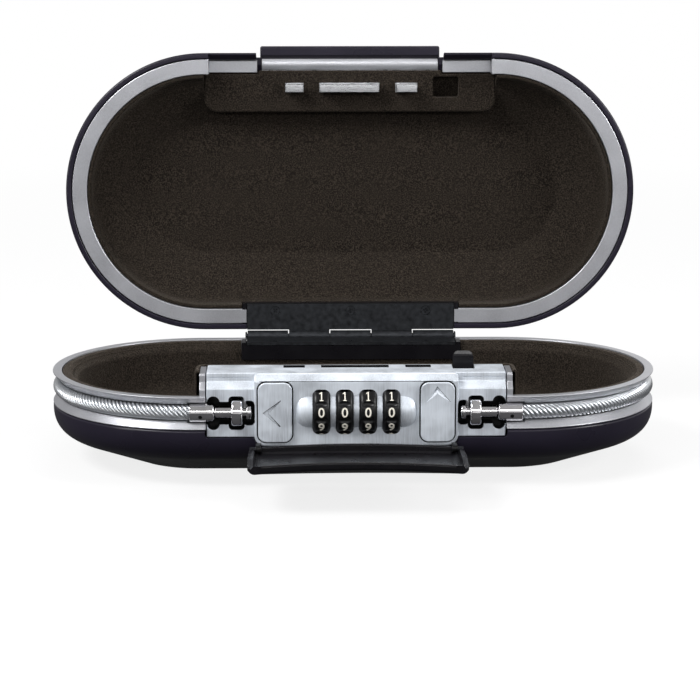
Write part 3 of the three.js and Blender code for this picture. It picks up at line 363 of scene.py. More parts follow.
def case_stations(arc_steps, gap=None):
    """Centres and headings of the places round the case, from the right of the gap to its left."""
    stations = [] if gap is None else [(gap, -90)]
    for side, heading in ((1, -90), (-1, 90)):
        stations += [
            (side * END_CENTRE, heading + 180 * i / arc_steps) for i in range(arc_steps + 1)
        ]
    return stations + ([] if gap is None else [(-gap, 270)])


def case_point(station, inset, height):
    """The place at a station that lies that far inside the case's outline."""
    centre, heading = station
    radius, angle = OUTER_RADIUS - inset, math.radians(heading)
    return (centre + radius * math.cos(angle), radius * math.sin(angle), height)


def swept(name, outline, gap=None, arc_steps=48):
    """Sweep a closed outline of (inset, height) points round the case."""
    stations = case_stations(arc_steps, gap)
    points = [case_point(station, *point) for station in stations for point in outline]
    faces = loops_to_faces(len(outline), len(stations), gap is None)
    axis = {number for number, (inset, _) in enumerate(outline) if inset > OUTER_RADIUS - 0.001}
    inside = [face for face in faces if {corner % len(outline) for corner in face} <= axis]
    return new_piece(name, points, [face for face in faces if face not in inside])


def settle(piece):
    """Apply a piece's modifiers."""
    mesh = as_seen(piece)
    if not mesh.polygons:
        raise RuntimeError(f"{piece.name} came out empty")
    before = piece.data
    piece.modifiers.clear()
    piece.data = mesh
    bpy.data.meshes.remove(before)
    mesh.name = piece.name
    return piece


def combine(piece, tools, operation):
    slots = max([len(tool.data.materials) for tool in tools] + [1])
    for _ in range(slots - len(piece.data.materials)):
        piece.data.materials.append(None)
    for tool in tools:
        step = piece.modifiers.new(tool.name, "BOOLEAN")
        step.operation = operation
        step.solver = "MANIFOLD"
        step.object = tool
    settle(piece)
    for tool in tools:
        bpy.data.meshes.remove(tool.data)
    return piece


def cut(piece, *tools):
    return combine(piece, tools, "DIFFERENCE")


def add(piece, *tools):
    return combine(piece, tools, "UNION")


def keep(piece, *tools):
    return combine(piece, tools, "INTERSECT")


def soften(piece, width, segments=3, angle=30):
    """Round the edges of a piece, as a mould or a tumbler does."""
    bevel = piece.modifiers.new("edges", "BEVEL")
    bevel.width = width * MM
    bevel.segments = segments
    bevel.limit_method = "ANGLE"
    bevel.angle_limit = math.radians(angle)
    bevel.use_clamp_overlap = True
    return settle(piece)


def smooth(piece, angle=35):
    """Clear slivers that the cuts left, and shade smooth, apart from edges sharper than angle."""
    work = bmesh.new()
    work.from_mesh(piece.data)
    bmesh.ops.dissolve_degenerate(work, dist=0.001 * MM, edges=work.edges)
    for face in work.faces:
        face.smooth = True
    for edge in work.edges:
        edge.smooth = not edge.is_manifold or edge.calc_face_angle(0) < math.radians(angle)
    work.to_mesh(piece.data)
    work.free()
    shading = piece.modifiers.new("shading", "WEIGHTED_NORMAL")
    shading.keep_sharp = True
    return settle(piece)


def turn_about(piece, y, z, degrees):
    centre = Matrix.Translation(Vector((0, y, z)) * MM)
    turn = Matrix.Rotation(math.radians(degrees), 4, "X")
    piece.data.transform(centre @ turn @ centre.inverted())
    return piece


def open_lid(piece):
    return turn_about(piece, HINGE_Y, at(HINGE_RISE), -LID_OPEN)


def fold_cover(piece):
    return turn_about(piece, COVER_HINGE_Y, at(COVER_HINGE_RISE), 90)


def dress(piece, materials):
    """Give a piece its materials in order, and keep the numbers on its faces."""
    numbers = [face.material_index for face in piece.data.polygons]
    piece.data.materials.clear()
    for material in materials:
        piece.data.materials.append(material)
    piece.data.polygons.foreach_set("material_index", [min(n, len(materials) - 1) for n in numbers])


def mark(tool, number):
    """Faces that this tool leaves behind carry the number of their material."""
    for _ in range(number + 1 - len(tool.data.materials)):
        tool.data.materials.append(None)
    tool.data.polygons.foreach_set("material_index", [number] * len(tool.data.polygons))
    return tool


def hand_over(piece, body, nodes, finishes):
    """The last step for each piece: its looks, the body it rides on and the nodes it stands for."""
    dress(piece, [finish_of(name) for name in finishes])
    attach(piece, body)
    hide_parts(*nodes)


# Materials


def colour(text):
    """An sRGB hex value as linear RGBA."""
    levels = [int(text[i:i + 2], 16) / 255 for i in (1, 3, 5)]
    return tuple(v / 12.92 if v <= 0.04045 else ((v + 0.055) / 1.055) ** 2.4 for v in levels) + (1,)


def paler(linear, factor):
    """A linear colour made lighter or darker by a factor."""
    return tuple(min(1.0, level * factor) for level in tuple(linear)[:3]) + (1.0,)


def node(tree, kind, links=None, **settings):
    """Add a node. links gives each input, by name or number, a value or another node's output."""
    made = tree.nodes.new(kind)
    for name, value in settings.items():
        setattr(made, name, value)
    for name, value in (links or {}).items():
        if isinstance(value, bpy.types.NodeSocket):
            tree.links.new(value, made.inputs[name])
        else:
            made.inputs[name].default_value = value
    return made


def grain(millimetres):
    """Texture scale for a pattern of that size, because Object coordinates are metres."""
    return 1 / (millimetres * MM)


def moulded_abs(tree, place, looks):
    """Satin black ABS from a polished mould: a deep navy black whose bright streaks waver a little,
    because the skin shrinks unevenly over about 1.6 mm."""
    peel = node(tree, "ShaderNodeTexNoise", {"Vector": place, "Scale": grain(1.6), "Detail": 2.0})
    cloud = node(tree, "ShaderNodeTexNoise", {"Vector": place, "Scale": grain(26), "Detail": 3.0})
    tone = node(tree, "ShaderNodeMix", {
        0: cloud.outputs["Fac"], 6: paler(looks.shell, 0.75), 7: paler(looks.shell, 1.45),
    }, data_type="RGBA")
    gloss = node(tree, "ShaderNodeMapRange", {
        "Value": cloud.outputs["Fac"], "From Min": 0.3, "From Max": 0.7,
        "To Min": 0.24, "To Max": 0.36,
    })
    skin = node(tree, "ShaderNodeBump", {
        "Height": peel.outputs["Fac"], "Strength": 0.5, "Distance": 0.03 * MM,
    })
    return node(tree, "ShaderNodeBsdfPrincipled", {
        "Base Color": tone.outputs[2], "Roughness": gloss.outputs[0], "IOR": 1.5,
        "Specular IOR Level": 0.25, "Normal": skin.outputs[0],
    })


def silver_paint(tree, place, looks):
    """Aluminium-flake paint on a moulded rim: pale grey, soft shine, with flakes of 0.05 mm that
    are drawn 0.4 mm wide so that they show."""
    flakes = node(tree, "ShaderNodeTexVoronoi", {"Vector": place, "Scale": grain(0.4)})
    cloud = node(tree, "ShaderNodeTexNoise", {"Vector": place, "Scale": grain(14), "Detail": 4.0})
    flake = node(tree, "ShaderNodeMix", {
        0: flakes.outputs["Color"], 6: paler(looks.silver, 0.86), 7: paler(looks.silver, 1.12),
    }, data_type="RGBA")
    tone = node(tree, "ShaderNodeMix", {
        0: cloud.outputs["Fac"], 6: flake.outputs[2], 7: paler(looks.silver, 1.0),
    }, data_type="RGBA")
    gloss = node(tree, "ShaderNodeMapRange", {
        "Value": cloud.outputs["Fac"], "From Min": 0.3, "From Max": 0.7,
        "To Min": 0.3, "To Max": 0.42,
    })
    coat = node(tree, "ShaderNodeBump", {
        "Height": flakes.outputs["Distance"], "Strength": 0.18, "Distance": 0.02 * MM,
    })
    return node(tree, "ShaderNodeBsdfPrincipled", {
        "Base Color": tone.outputs[2], "Metallic": 0.75, "Roughness": gloss.outputs[0],
        "Normal": coat.outputs[0],
    })


def flocked_foam(tree, place, looks):
    """Foam lining flocked with short rayon fibres: matt brown black that lightens where it turns
    away. The tufts are 0.1 mm in the real thing and are drawn 0.55 mm wide so that they show."""
    tufts = node(tree, "ShaderNodeTexNoise", {
        "Vector": place, "Scale": grain(0.55), "Detail": 3.0, "Roughness": 0.7,
    })
    lie = node(tree, "ShaderNodeTexNoise", {"Vector": place, "Scale": grain(11), "Detail": 3.0})
    catch = node(tree, "ShaderNodeMapRange", {
        "Value": tufts.outputs["Fac"], "From Min": 0.42, "From Max": 0.74,
    })
    fibre = node(tree, "ShaderNodeMix", {
        0: catch.outputs[0], 6: paler(looks.foam, 0.3), 7: paler(looks.foam, 3.4),
    }, data_type="RGBA")
    worn = node(tree, "ShaderNodeMapRange", {
        "Value": lie.outputs["Fac"], "From Min": 0.35, "From Max": 0.75,
        "To Min": 0.0, "To Max": 0.45,
    })
    tone = node(tree, "ShaderNodeMix", {
        0: worn.outputs[0], 6: fibre.outputs[2], 7: paler(looks.foam, 1.2),
    }, data_type="RGBA")
    pile = node(tree, "ShaderNodeBump", {
        "Height": tufts.outputs["Fac"], "Strength": 1.0, "Distance": 0.4 * MM,
    })
    return node(tree, "ShaderNodeBsdfPrincipled", {
        "Base Color": tone.outputs[2], "Roughness": 0.95, "Specular IOR Level": 0.1,
        "Sheen Weight": 0.24, "Sheen Roughness": 0.35, "Sheen Tint": colour("#b3a89c"),
        "Normal": pile.outputs[0],
    })


def die_cast_zinc(tree, place, looks):
    """Tumbled die-cast zinc, faintly brushed upwards: blue-grey metal with cloudy light patches of
    about 9 mm and fine strokes drawn 0.5 mm wide."""
    upright = node(tree, "ShaderNodeMapping", {"Vector": place, "Scale": (1.0, 1.0, 0.06)})
    strokes = node(tree, "ShaderNodeTexNoise", {
        "Vector": upright.outputs[0], "Scale": grain(0.5), "Detail": 4.0, "Roughness": 0.6,
    })
    cloud = node(tree, "ShaderNodeTexNoise", {"Vector": place, "Scale": grain(9), "Detail": 2.0})
    streak = node(tree, "ShaderNodeMix", {
        0: strokes.outputs["Fac"], 6: paler(looks.zinc, 0.5), 7: paler(looks.zinc, 1.3),
    }, data_type="RGBA")
    patch = node(tree, "ShaderNodeMapRange", {
        "Value": cloud.outputs["Fac"], "From Min": 0.35, "From Max": 0.7,
        "To Min": 0.0, "To Max": 0.6,
    })
    tone = node(tree, "ShaderNodeMix", {
        0: patch.outputs[0], 6: streak.outputs[2], 7: paler(looks.zinc, 1.45),
    }, data_type="RGBA")
    gloss = node(tree, "ShaderNodeMapRange", {
        "Value": cloud.outputs["Fac"], "From Min": 0.3, "From Max": 0.7,
        "To Min": 0.36, "To Max": 0.52,
    })
    lines = node(tree, "ShaderNodeBump", {
        "Height": strokes.outputs["Fac"], "Strength": 0.25, "Distance": 0.02 * MM,
    })
    return node(tree, "ShaderNodeBsdfPrincipled", {
        "Base Color": tone.outputs[2], "Metallic": 0.4, "Roughness": gloss.outputs[0],
        "Normal": lines.outputs[0],
    })


def plated_steel(tree, place, looks):
    """Zinc-plated sheet steel: bright and slightly milky, with rolling lines along the piece drawn
    0.4 mm wide."""
    along = node(tree, "ShaderNodeMapping", {"Vector": place, "Scale": (0.08, 1.0, 1.0)})
    lines = node(tree, "ShaderNodeTexNoise", {
        "Vector": along.outputs[0], "Scale": grain(0.4), "Detail": 3.0,
    })
    tone = node(tree, "ShaderNodeMix", {
        0: lines.outputs["Fac"], 6: paler(looks.steel, 0.85), 7: paler(looks.steel, 1.1),
    }, data_type="RGBA")
    gloss = node(tree, "ShaderNodeMapRange", {
        "Value": lines.outputs["Fac"], "To Min": 0.2, "To Max": 0.36,
    })
    relief = node(tree, "ShaderNodeBump", {
        "Height": lines.outputs["Fac"], "Strength": 0.2, "Distance": 0.01 * MM,
    })
    return node(tree, "ShaderNodeBsdfPrincipled", {
        "Base Color": tone.outputs[2], "Metallic": 1.0, "Roughness": gloss.outputs[0],
        "Normal": relief.outputs[0],
    })


def nickel_plate(tree, place, looks):
    """Bright nickel over turned steel: a clear mirror with faint turning rings 0.3 mm apart."""
    rings = node(tree, "ShaderNodeTexWave", {
        "Vector": place, "Scale": grain(0.3) / 20, "Distortion": 1.5, "Detail": 1.0,
    })
    dulled = node(tree, "ShaderNodeTexNoise", {"Vector": place, "Scale": grain(2.5), "Detail": 4.0})
    gloss = node(tree, "ShaderNodeMapRange", {
        "Value": dulled.outputs["Fac"], "From Min": 0.35, "From Max": 0.7,
        "To Min": 0.07, "To Max": 0.16,
    })
    tone = node(tree, "ShaderNodeMix", {
        0: dulled.outputs["Fac"], 6: paler(looks.nickel, 0.9), 7: paler(looks.nickel, 1.12),
    }, data_type="RGBA")
    turning = node(tree, "ShaderNodeBump", {
        "Height": rings.outputs["Fac"], "Strength": 0.03, "Distance": 0.004 * MM,
    })
    return node(tree, "ShaderNodeBsdfPrincipled", {
        "Base Color": tone.outputs[2], "Metallic": 1.0, "Roughness": gloss.outputs[0],
        "Normal": turning.outputs[0],
    })


def jacketed_wire(tree, place, looks):
    """Galvanised wire strands under a clear vinyl jacket: silver strands with wet, bright patches.
    The single wires are 0.3 mm and show as fine dark lines."""
    wires = node(tree, "ShaderNodeTexNoise", {"Vector": place, "Scale": grain(0.3), "Detail": 2.0})
    cloud = node(tree, "ShaderNodeTexNoise", {"Vector": place, "Scale": grain(6), "Detail": 2.0})
    wire = node(tree, "ShaderNodeMix", {
        0: wires.outputs["Fac"], 6: paler(looks.rope, 0.6), 7: paler(looks.rope, 1.15),
    }, data_type="RGBA")
    tone = node(tree, "ShaderNodeMix", {
        0: cloud.outputs["Fac"], 6: wire.outputs[2], 7: paler(looks.rope, 1.1),
    }, data_type="RGBA")
    relief = node(tree, "ShaderNodeBump", {
        "Height": wires.outputs["Fac"], "Strength": 0.3, "Distance": 0.04 * MM,
    })
    return node(tree, "ShaderNodeBsdfPrincipled", {
        "Base Color": tone.outputs[2], "Metallic": 0.85, "Roughness": 0.3, "Coat Weight": 1.0,
        "Coat Roughness": 0.08, "Normal": relief.outputs[0],
    })


def textured_abs(tree, place, looks):
    """Black ABS from a spark-eroded mould: dull black with an even grain of 0.4 mm that blurs its
    highlights."""
    spark = node(tree, "ShaderNodeTexNoise", {"Vector": place, "Scale": grain(0.4), "Detail": 2.0})
    rubbed = node(tree, "ShaderNodeTexNoise", {"Vector": place, "Scale": grain(9), "Detail": 3.0})
    tone = node(tree, "ShaderNodeMix", {
        0: spark.outputs["Fac"], 6: paler(looks.cover, 0.6), 7: paler(looks.cover, 1.7),
    }, data_type="RGBA")
    gloss = node(tree, "ShaderNodeMapRange", {
        "Value": rubbed.outputs["Fac"], "From Min": 0.3, "From Max": 0.7,
        "To Min": 0.24, "To Max": 0.36,
    })
    relief = node(tree, "ShaderNodeBump", {
        "Height": spark.outputs["Fac"], "Strength": 0.25, "Distance": 0.03 * MM,
    })
    return node(tree, "ShaderNodeBsdfPrincipled", {
        "Base Color": tone.outputs[2], "Roughness": gloss.outputs[0], "IOR": 1.5,
        "Specular IOR Level": 0.22, "Normal": relief.outputs[0],
    })


def black_nylon(tree, place, looks):
    """Moulded black nylon of the dials, also laid on the walls of the wells, slots and windows, in
    the arrow grooves and in the crimp hole as painted shade: near black with a thin shine and
    specks of dust 0.5 mm wide."""
    dust = node(tree, "ShaderNodeTexNoise", {"Vector": place, "Scale": grain(0.5), "Detail": 3.0})
    speck = node(tree, "ShaderNodeMapRange", {
        "Value": dust.outputs["Fac"], "From Min": 0.5, "From Max": 0.8,
        "To Min": 0.0, "To Max": 0.6,
    })
    tone = node(tree, "ShaderNodeMix", {
        0: speck.outputs[0], 6: colour("#0a0a0b"), 7: colour("#242427"),
    }, data_type="RGBA")
    gloss = node(tree, "ShaderNodeMapRange", {
        "Value": dust.outputs["Fac"], "To Min": 0.22, "To Max": 0.42,
    })
    relief = node(tree, "ShaderNodeBump", {
        "Height": dust.outputs["Fac"], "Strength": 0.2, "Distance": 0.02 * MM,
    })
    return node(tree, "ShaderNodeBsdfPrincipled", {
        "Base Color": tone.outputs[2], "Roughness": gloss.outputs[0], "IOR": 1.53,
        "Specular IOR Level": 0.25, "Normal": relief.outputs[0],
    })


def number_paint(tree, place, looks):
    """Cream paint printed on the raised numbers: flat, with slightly uneven cover."""
    cover = node(tree, "ShaderNodeTexNoise", {"Vector": place, "Scale": grain(0.5), "Detail": 3.0})
    tone = node(tree, "ShaderNodeMix", {
        0: cover.outputs["Fac"], 6: paler(looks.numbers, 0.85), 7: paler(looks.numbers, 1.05),
    }, data_type="RGBA")
    relief = node(tree, "ShaderNodeBump", {
        "Height": cover.outputs["Fac"], "Strength": 0.15, "Distance": 0.01 * MM,
    })
    return node(tree, "ShaderNodeBsdfPrincipled", {
        "Base Color": tone.outputs[2], "Roughness": 0.5, "IOR": 1.5, "Normal": relief.outputs[0],
    })


def blackened_steel(tree, place, looks):
    """Sheet steel with black oxide, as on the hinge: dull blue black, rubbed paler in patches of
    about 2 mm."""
    rubbed = node(tree, "ShaderNodeTexNoise", {"Vector": place, "Scale": grain(2), "Detail": 4.0})
    fine = node(tree, "ShaderNodeTexNoise", {"Vector": place, "Scale": grain(0.4), "Detail": 2.0})
    tone = node(tree, "ShaderNodeMix", {
        0: rubbed.outputs["Fac"], 6: colour("#1d1e20"), 7: colour("#3c3e42"),
    }, data_type="RGBA")
    gloss = node(tree, "ShaderNodeMapRange", {
        "Value": rubbed.outputs["Fac"], "From Min": 0.3, "From Max": 0.7,
        "To Min": 0.34, "To Max": 0.52,
    })
    relief = node(tree, "ShaderNodeBump", {
        "Height": fine.outputs["Fac"], "Strength": 0.25, "Distance": 0.02 * MM,
    })
    return node(tree, "ShaderNodeBsdfPrincipled", {
        "Base Color": tone.outputs[2], "Metallic": 0.8, "Roughness": gloss.outputs[0],
        "Normal": relief.outputs[0],
    })


def inner_steel(tree, place, looks):
    """Tumbled, oiled steel of the parts inside the lock: mid grey, blotchy over about 3 mm."""
    oil = node(tree, "ShaderNodeTexNoise", {"Vector": place, "Scale": grain(3), "Detail": 4.0})
    scuffs = node(tree, "ShaderNodeTexNoise", {"Vector": place, "Scale": grain(0.4), "Detail": 2.0})
    tone = node(tree, "ShaderNodeMix", {
        0: oil.outputs["Fac"], 6: paler(looks.steel, 0.5), 7: paler(looks.steel, 0.95),
    }, data_type="RGBA")
    gloss = node(tree, "ShaderNodeMapRange", {
        "Value": oil.outputs["Fac"], "From Min": 0.3, "From Max": 0.7,
        "To Min": 0.22, "To Max": 0.45,
    })
    relief = node(tree, "ShaderNodeBump", {
        "Height": scuffs.outputs["Fac"], "Strength": 0.2, "Distance": 0.02 * MM,
    })
    return node(tree, "ShaderNodeBsdfPrincipled", {
        "Base Color": tone.outputs[2], "Metallic": 1.0, "Roughness": gloss.outputs[0],
        "Normal": relief.outputs[0],
    })


def seen_plainly(tree, mirrored):
    """How white the backdrop shows: fully to the eye or through glass, and by a share in gloss."""
    path = node(tree, "ShaderNodeLightPath")
    direct = node(tree, "ShaderNodeMath", {
        0: path.outputs["Is Camera Ray"], 1: path.outputs["Is Transmission Ray"],
    }, operation="MAXIMUM")
    glossy = node(
        tree, "ShaderNodeMath", {0: path.outputs["Is Glossy Ray"], 1: mirrored},
        operation="MULTIPLY",
    )
    shown = node(tree, "ShaderNodeMath", {
        0: direct.outputs[0], 1: glossy.outputs[0],
    }, operation="MAXIMUM")
    return shown.outputs[0]


def paper_floor(tree, place, looks):
    """White paper sweep with a faint tooth of 2 mm. It partly glows, so that it shows as white and
    still keeps the shadow. It throws little light back, as with black cards round the object."""
    tooth = node(tree, "ShaderNodeTexNoise", {"Vector": place, "Scale": grain(2), "Detail": 2.0})
    tone = node(tree, "ShaderNodeMix", {
        0: tooth.outputs["Fac"], 6: colour("#f3f3f4"), 7: colour("#f8f8f8"),
    }, data_type="RGBA")
    path = node(tree, "ShaderNodeLightPath")
    dimmed = node(tree, "ShaderNodeMix", {
        0: path.outputs["Is Camera Ray"], 6: colour("#3e3e40"), 7: tone.outputs[2],
    }, data_type="RGBA")
    paper = node(tree, "ShaderNodeBsdfDiffuse", {"Color": dimmed.outputs[2]})
    glow = node(tree, "ShaderNodeEmission", {"Color": (1, 1, 1, 1), "Strength": 1.0})
    away = node(tree, "ShaderNodeVectorMath", {0: place}, operation="LENGTH")
    spread = node(tree, "ShaderNodeMapRange", {
        "Value": away.outputs["Value"], "From Min": 0.3, "From Max": 1.0,
        "To Min": 0.82, "To Max": 1.0,
    })
    share = node(
        tree, "ShaderNodeMath", {0: seen_plainly(tree, 0.05), 1: spread.outputs[0]},
        operation="MULTIPLY",
    )
    return node(tree, "ShaderNodeMixShader", {
        0: share.outputs[0], 1: paper.outputs[0], 2: glow.outputs[0],
    })


FINISHES = {
    make.__name__: make
    for make in (
        moulded_abs, silver_paint, flocked_foam, die_cast_zinc, plated_steel, nickel_plate,
        jacketed_wire, textured_abs, black_nylon, number_paint, blackened_steel, inner_steel,
        paper_floor,
    )
}


def finish_of(name):
    """The material of that name, made the first time a piece asks for it."""
    found = bpy.data.materials.get(name)
    if found:
        return found
    material = bpy.data.materials.new(name)
    material.use_nodes = True
    tree = material.node_tree
    tree.nodes.clear()
    place = node(tree, "ShaderNodeTexCoord").outputs["Object"]
    shader = FINISHES[name](tree, place, bpy.context.scene.car_safe_colours)
    node(tree, "ShaderNodeOutputMaterial", {"Surface": shader.outputs[0]})
    return material


# Shells


def shell_ring(name, rim_rise, way):
    """Half a shell: wall, shoulder and flat face, and the same inside. way is 1 for the lid."""
    outer = case_section(rim_rise)
    inner = moved_in(outer, SHELL_WALL)
    axis = [(OUTER_RADIUS, HALF_HEIGHT), (OUTER_RADIUS, HALF_HEIGHT - SHELL_WALL)]
    points = outer + axis + inner[::-1]
    flat = len(outer) - 1
    outline = rounded(points, {0: 1.0, flat: 9, flat + 3: 6, len(points) - 1: 0.4})
    return swept(name, [(inset, at(way * rise)) for inset, rise in outline], arc_steps=72)


def cavity(name, rim_rise, way, margin):
    """The space inside the case, from the rim's plane on, smaller by a margin all round."""
    inner = moved_in(case_section(rim_rise), margin)
    points = [(OUTER_RADIUS, rim_rise)] + inner + [(OUTER_RADIUS, inner[-1][1])]
    return swept(name, [(inset, at(way * rise)) for inset, rise in points], arc_steps=72)


def end_outline(margin, top, bottom, back):
    """The lock's end blocks seen from the side, as (y, z) points."""
    ledge = UPPER_FRONT - END_FRONT
    return [
        (END_FRONT - margin, at(bottom)),
        (END_FRONT - margin, at(END_RISE + margin)),
        (UPPER_FRONT - margin, at(END_RISE + ledge + margin)),
        (UPPER_FRONT - margin, at(top)),
        (back, at(top)),
        (back, at(bottom)),
    ]


def either_side(near, far):
    """The same span on the right and on the left."""
    return ((near, far), (-far, -near))


def both_sides(name, x, y, z):
    return [brick(name, span, y, z) for span in either_side(*x)]


def base_shell():
    shell = shell_ring("lower_shell", CHANNEL_RISE + 0.2, -1)
    ends = prism(
        "ends", rounded_box(centred(57.3), rises(-9.65, 6.3), {0: 1.5, 1: 1.5}),
        (CUT_FRONT, CUT_BACK), "Y",
    )
    low = PLATE_BOTTOM - SEAM
    middle = prism(
        "middle", rounded_box(centred(38.9), rises(low, 6.3), {0: 4.3, 1: 4.3}),
        (CUT_FRONT, CUT_BACK), "Y",
    )
    return smooth(cut(shell, ends, middle))


def striker_holes(radius, z):
    return [rod("hole", z, radius, "Z", (x, STRIKER_SCREW_Y), 24) for x in sorted(STRIKER_SCREWS)]


def hinge_holes(radius, z):
    return [rod("hole", z, radius, "Z", (x, HINGE_SCREW_Y), 24) for x in HINGE_SCREWS]


def lever_pocket(z):
    corners = [(35.15, -48.2), (46.15, -48.2), (46.15, -39.4), (35.15, -39.4)]
    return prism("pocket", rounded(corners, 1.2), z, "Z")


def lid_shell():
    shell = shell_ring("upper_shell", RIM_RISE, 1)
    front = PLATE_FRONT - 2.5
    side = [
        (front, 16.3), (front, 17.4), (front + 0.8, 19.4), (front + 2.4, 20.6), (-46.0, 20.6),
        (-46.0, 16.3),
    ]
    side = rounded(lifted(side), {1: 0.9, 2: 1.6, 3: 2.0})
    bulge = soften(prism("bulge", side, centred(37.9), "X"), 2.2, 6, 50)
    cut(bulge, cavity("inside", RIM_RISE, 1, SHELL_WALL))
    add(shell, bulge)
    window = prism("window", end_outline(0.45, 15.6, 5.3, CUT_BACK), centred(LINER_WALL_X), "X")
    pocket = mark(keep(lever_pocket(rises(14, 30)), cavity("inside", RIM_RISE, 1, 1.3)), 1)
    rooms = [
        brick("striker_room", centred(37.5), (-57.2, -38.0), rises(13, ROOM_TOP)),
        brick("low_window", centred(LINER_WALL_X), (CUT_FRONT, UPPER_FRONT), rises(5.3, 9.8)),
        brick("middle_window", centred(39.5), (CUT_FRONT, UPPER_FRONT), rises(5.3, 15.7)),
        *both_sides("panel_room", (38.9, 60.0), (-54.9, -49.5), rises(14.6, 16.9)),
        brick("leaf_room", LEAF_ROOM, (LEAF_FRONT, OUTER_RADIUS + 1), rises(0, 8.1)),
        *striker_holes(1.3, rises(16, 20.2)),
    ]
    return smooth(cut(shell, window, pocket, *rooms))


class CARSAFE_OT_shells(bpy.types.Operator):
    """Build the two moulded shells"""
    bl_idname = "car_safe.shells"
    bl_label = "Shells"

    def execute(self, context):
        hand_over(base_shell(), "base", ["base_shell"], ["moulded_abs"])
        hand_over(
            open_lid(lid_shell()), "lid", ["lid_shell"], ["moulded_abs", "flocked_foam"]
        )
        return {"FINISHED"}


# Silver rims


def base_rim():
    mouth = math.radians(80)
    groove = []
    for step in range(25):
        angle = -mouth - (2 * math.pi - 2 * mouth) * step / 24
        groove.append(
            (ROPE_RADIUS - GROOVE_RADIUS * math.cos(angle), GROOVE_RADIUS * math.sin(angle))
        )
    land = CHANNEL_RISE - CHANNEL_STEP
    section = [
        (0, -CHANNEL_RISE), (0, 0.4 - CHANNEL_RISE), *groove, (0, CHANNEL_RISE - 0.4),
        (0, CHANNEL_RISE), (CHANNEL_LAND, CHANNEL_RISE), (CHANNEL_LAND, land),
        (CHANNEL_DEPTH, land), (CHANNEL_DEPTH, -CHANNEL_RISE),
    ]
    section = rounded(
        section, {0: 0.3, 1: 0.25, 2: 0.25, 26: 0.25, 27: 0.18, 28: 0.18, 29: 0.3, 30: 0.2}, 3
    )
    rim = swept("base_rim", lifted(section), gap=57.0, arc_steps=72)
    back, low = HOUSING_BACK - SEAM, CHANNEL_DEPTH - 0.5 - OUTER_RADIUS
    side = [
        (END_FRONT, 5.3), (END_FRONT, END_RISE - 0.3), (UPPER_FRONT, END_RISE + 2.0),
        (UPPER_FRONT, 14.7), (back, 14.7), (back, -6.3), (low, -6.3), (low, 3.8),
    ]
    side = rounded(lifted(side), {1: 0.6, 2: 0.6, 3: 0.8, 4: 0.8}, 3)
    risers = [
        soften(prism("riser", side, span, "X"), 0.3, 2, 40) for span in either_side(57.0, 59.2)
    ]
    land_z = rises(3.4, CHANNEL_RISE)
    lands = [
        brick("land", centred(LAND_HALF), (LAND_FRONT, OUTER_RADIUS), land_z),
        brick("land_foot", centred(LAND_HALF), (LAND_FRONT, 51.5), rises(-1, CHANNEL_RISE)),
    ]
    side_holes = [
        rod("hole", span, 1.5, "X", (SIDE_SCREW_Y, at(0)), 24) for span in either_side(52.0, 60.6)
    ]
    rope_rooms = [
        rod("rope_room", span, 4.15, "X", (ROPE_Y, at(0)), 40) for span in either_side(56.0, 64.0)
    ]
    leaf_room = brick("leaf_room", LEAF_ROOM, (LEAF_FRONT - 1, OUTER_RADIUS + 1), rises(4.9, 7.3))
    add(rim, *risers)
    cut(rim, *rope_rooms)
    add(rim, *[mark(land, 1) for land in lands])
    return smooth(cut(rim, mark(leaf_room, 1), *hinge_holes(1.3, rises(0.5, 8.0)), *side_holes))


def lid_rim():
    low, high, inner = RIM_RISE, RIM_RISE + BAND_THICKNESS, BAND_INSET + BAND_WIDTH
    section = rounded(
        [(2.65, low), (2.65, high), (inner, high), (inner, low)], {0: 0.35, 3: 0.35}, 4
    )
    rim = swept("lid_rim", lifted(section), gap=BAND_GAP, arc_steps=72)
    steps = both_sides("step", (BAND_GAP, 60.7), (-OUTER_RADIUS, -49.5), rises(low, 16.6))
    steps = [keep(soften(step, 0.3, 3), cavity("inside", RIM_RISE, 1, 2.6)) for step in steps]
    panels = [
        soften(panel, 0.2, 2)
        for panel in both_sides("panel", (39.2, 59.7), (-55.3, -50.0), rises(15.6, 16.6))
    ]
    land = brick("land", centred(LAND_HALF), (LAND_FRONT, OUTER_RADIUS - 2.65), rises(low, 11.1))
    leaf_room = brick("leaf_room", LEAF_ROOM, (LEAF_FRONT - 1, OUTER_RADIUS), rises(0, 8.1))
    add(rim, mark(keep(land, cavity("inside", RIM_RISE, 1, 2.6)), 1), *steps, *panels)
    return smooth(cut(rim, mark(leaf_room, 1), *hinge_holes(1.3, rises(5.7, 11.7))))


class CARSAFE_OT_rims(bpy.types.Operator):
    """Build the silver channel of the base and the silver band of the lid"""
    bl_idname = "car_safe.rims"
    bl_label = "Silver rims"

    def execute(self, context):
        hand_over(
            base_rim(), "base", ["base_frame"], ["silver_paint", "textured_abs"]
        )
        hand_over(
            open_lid(lid_rim()), "lid", ["lid_frame"],
            ["silver_paint", "textured_abs"],
        )
        return {"FINISHED"}


# Linings


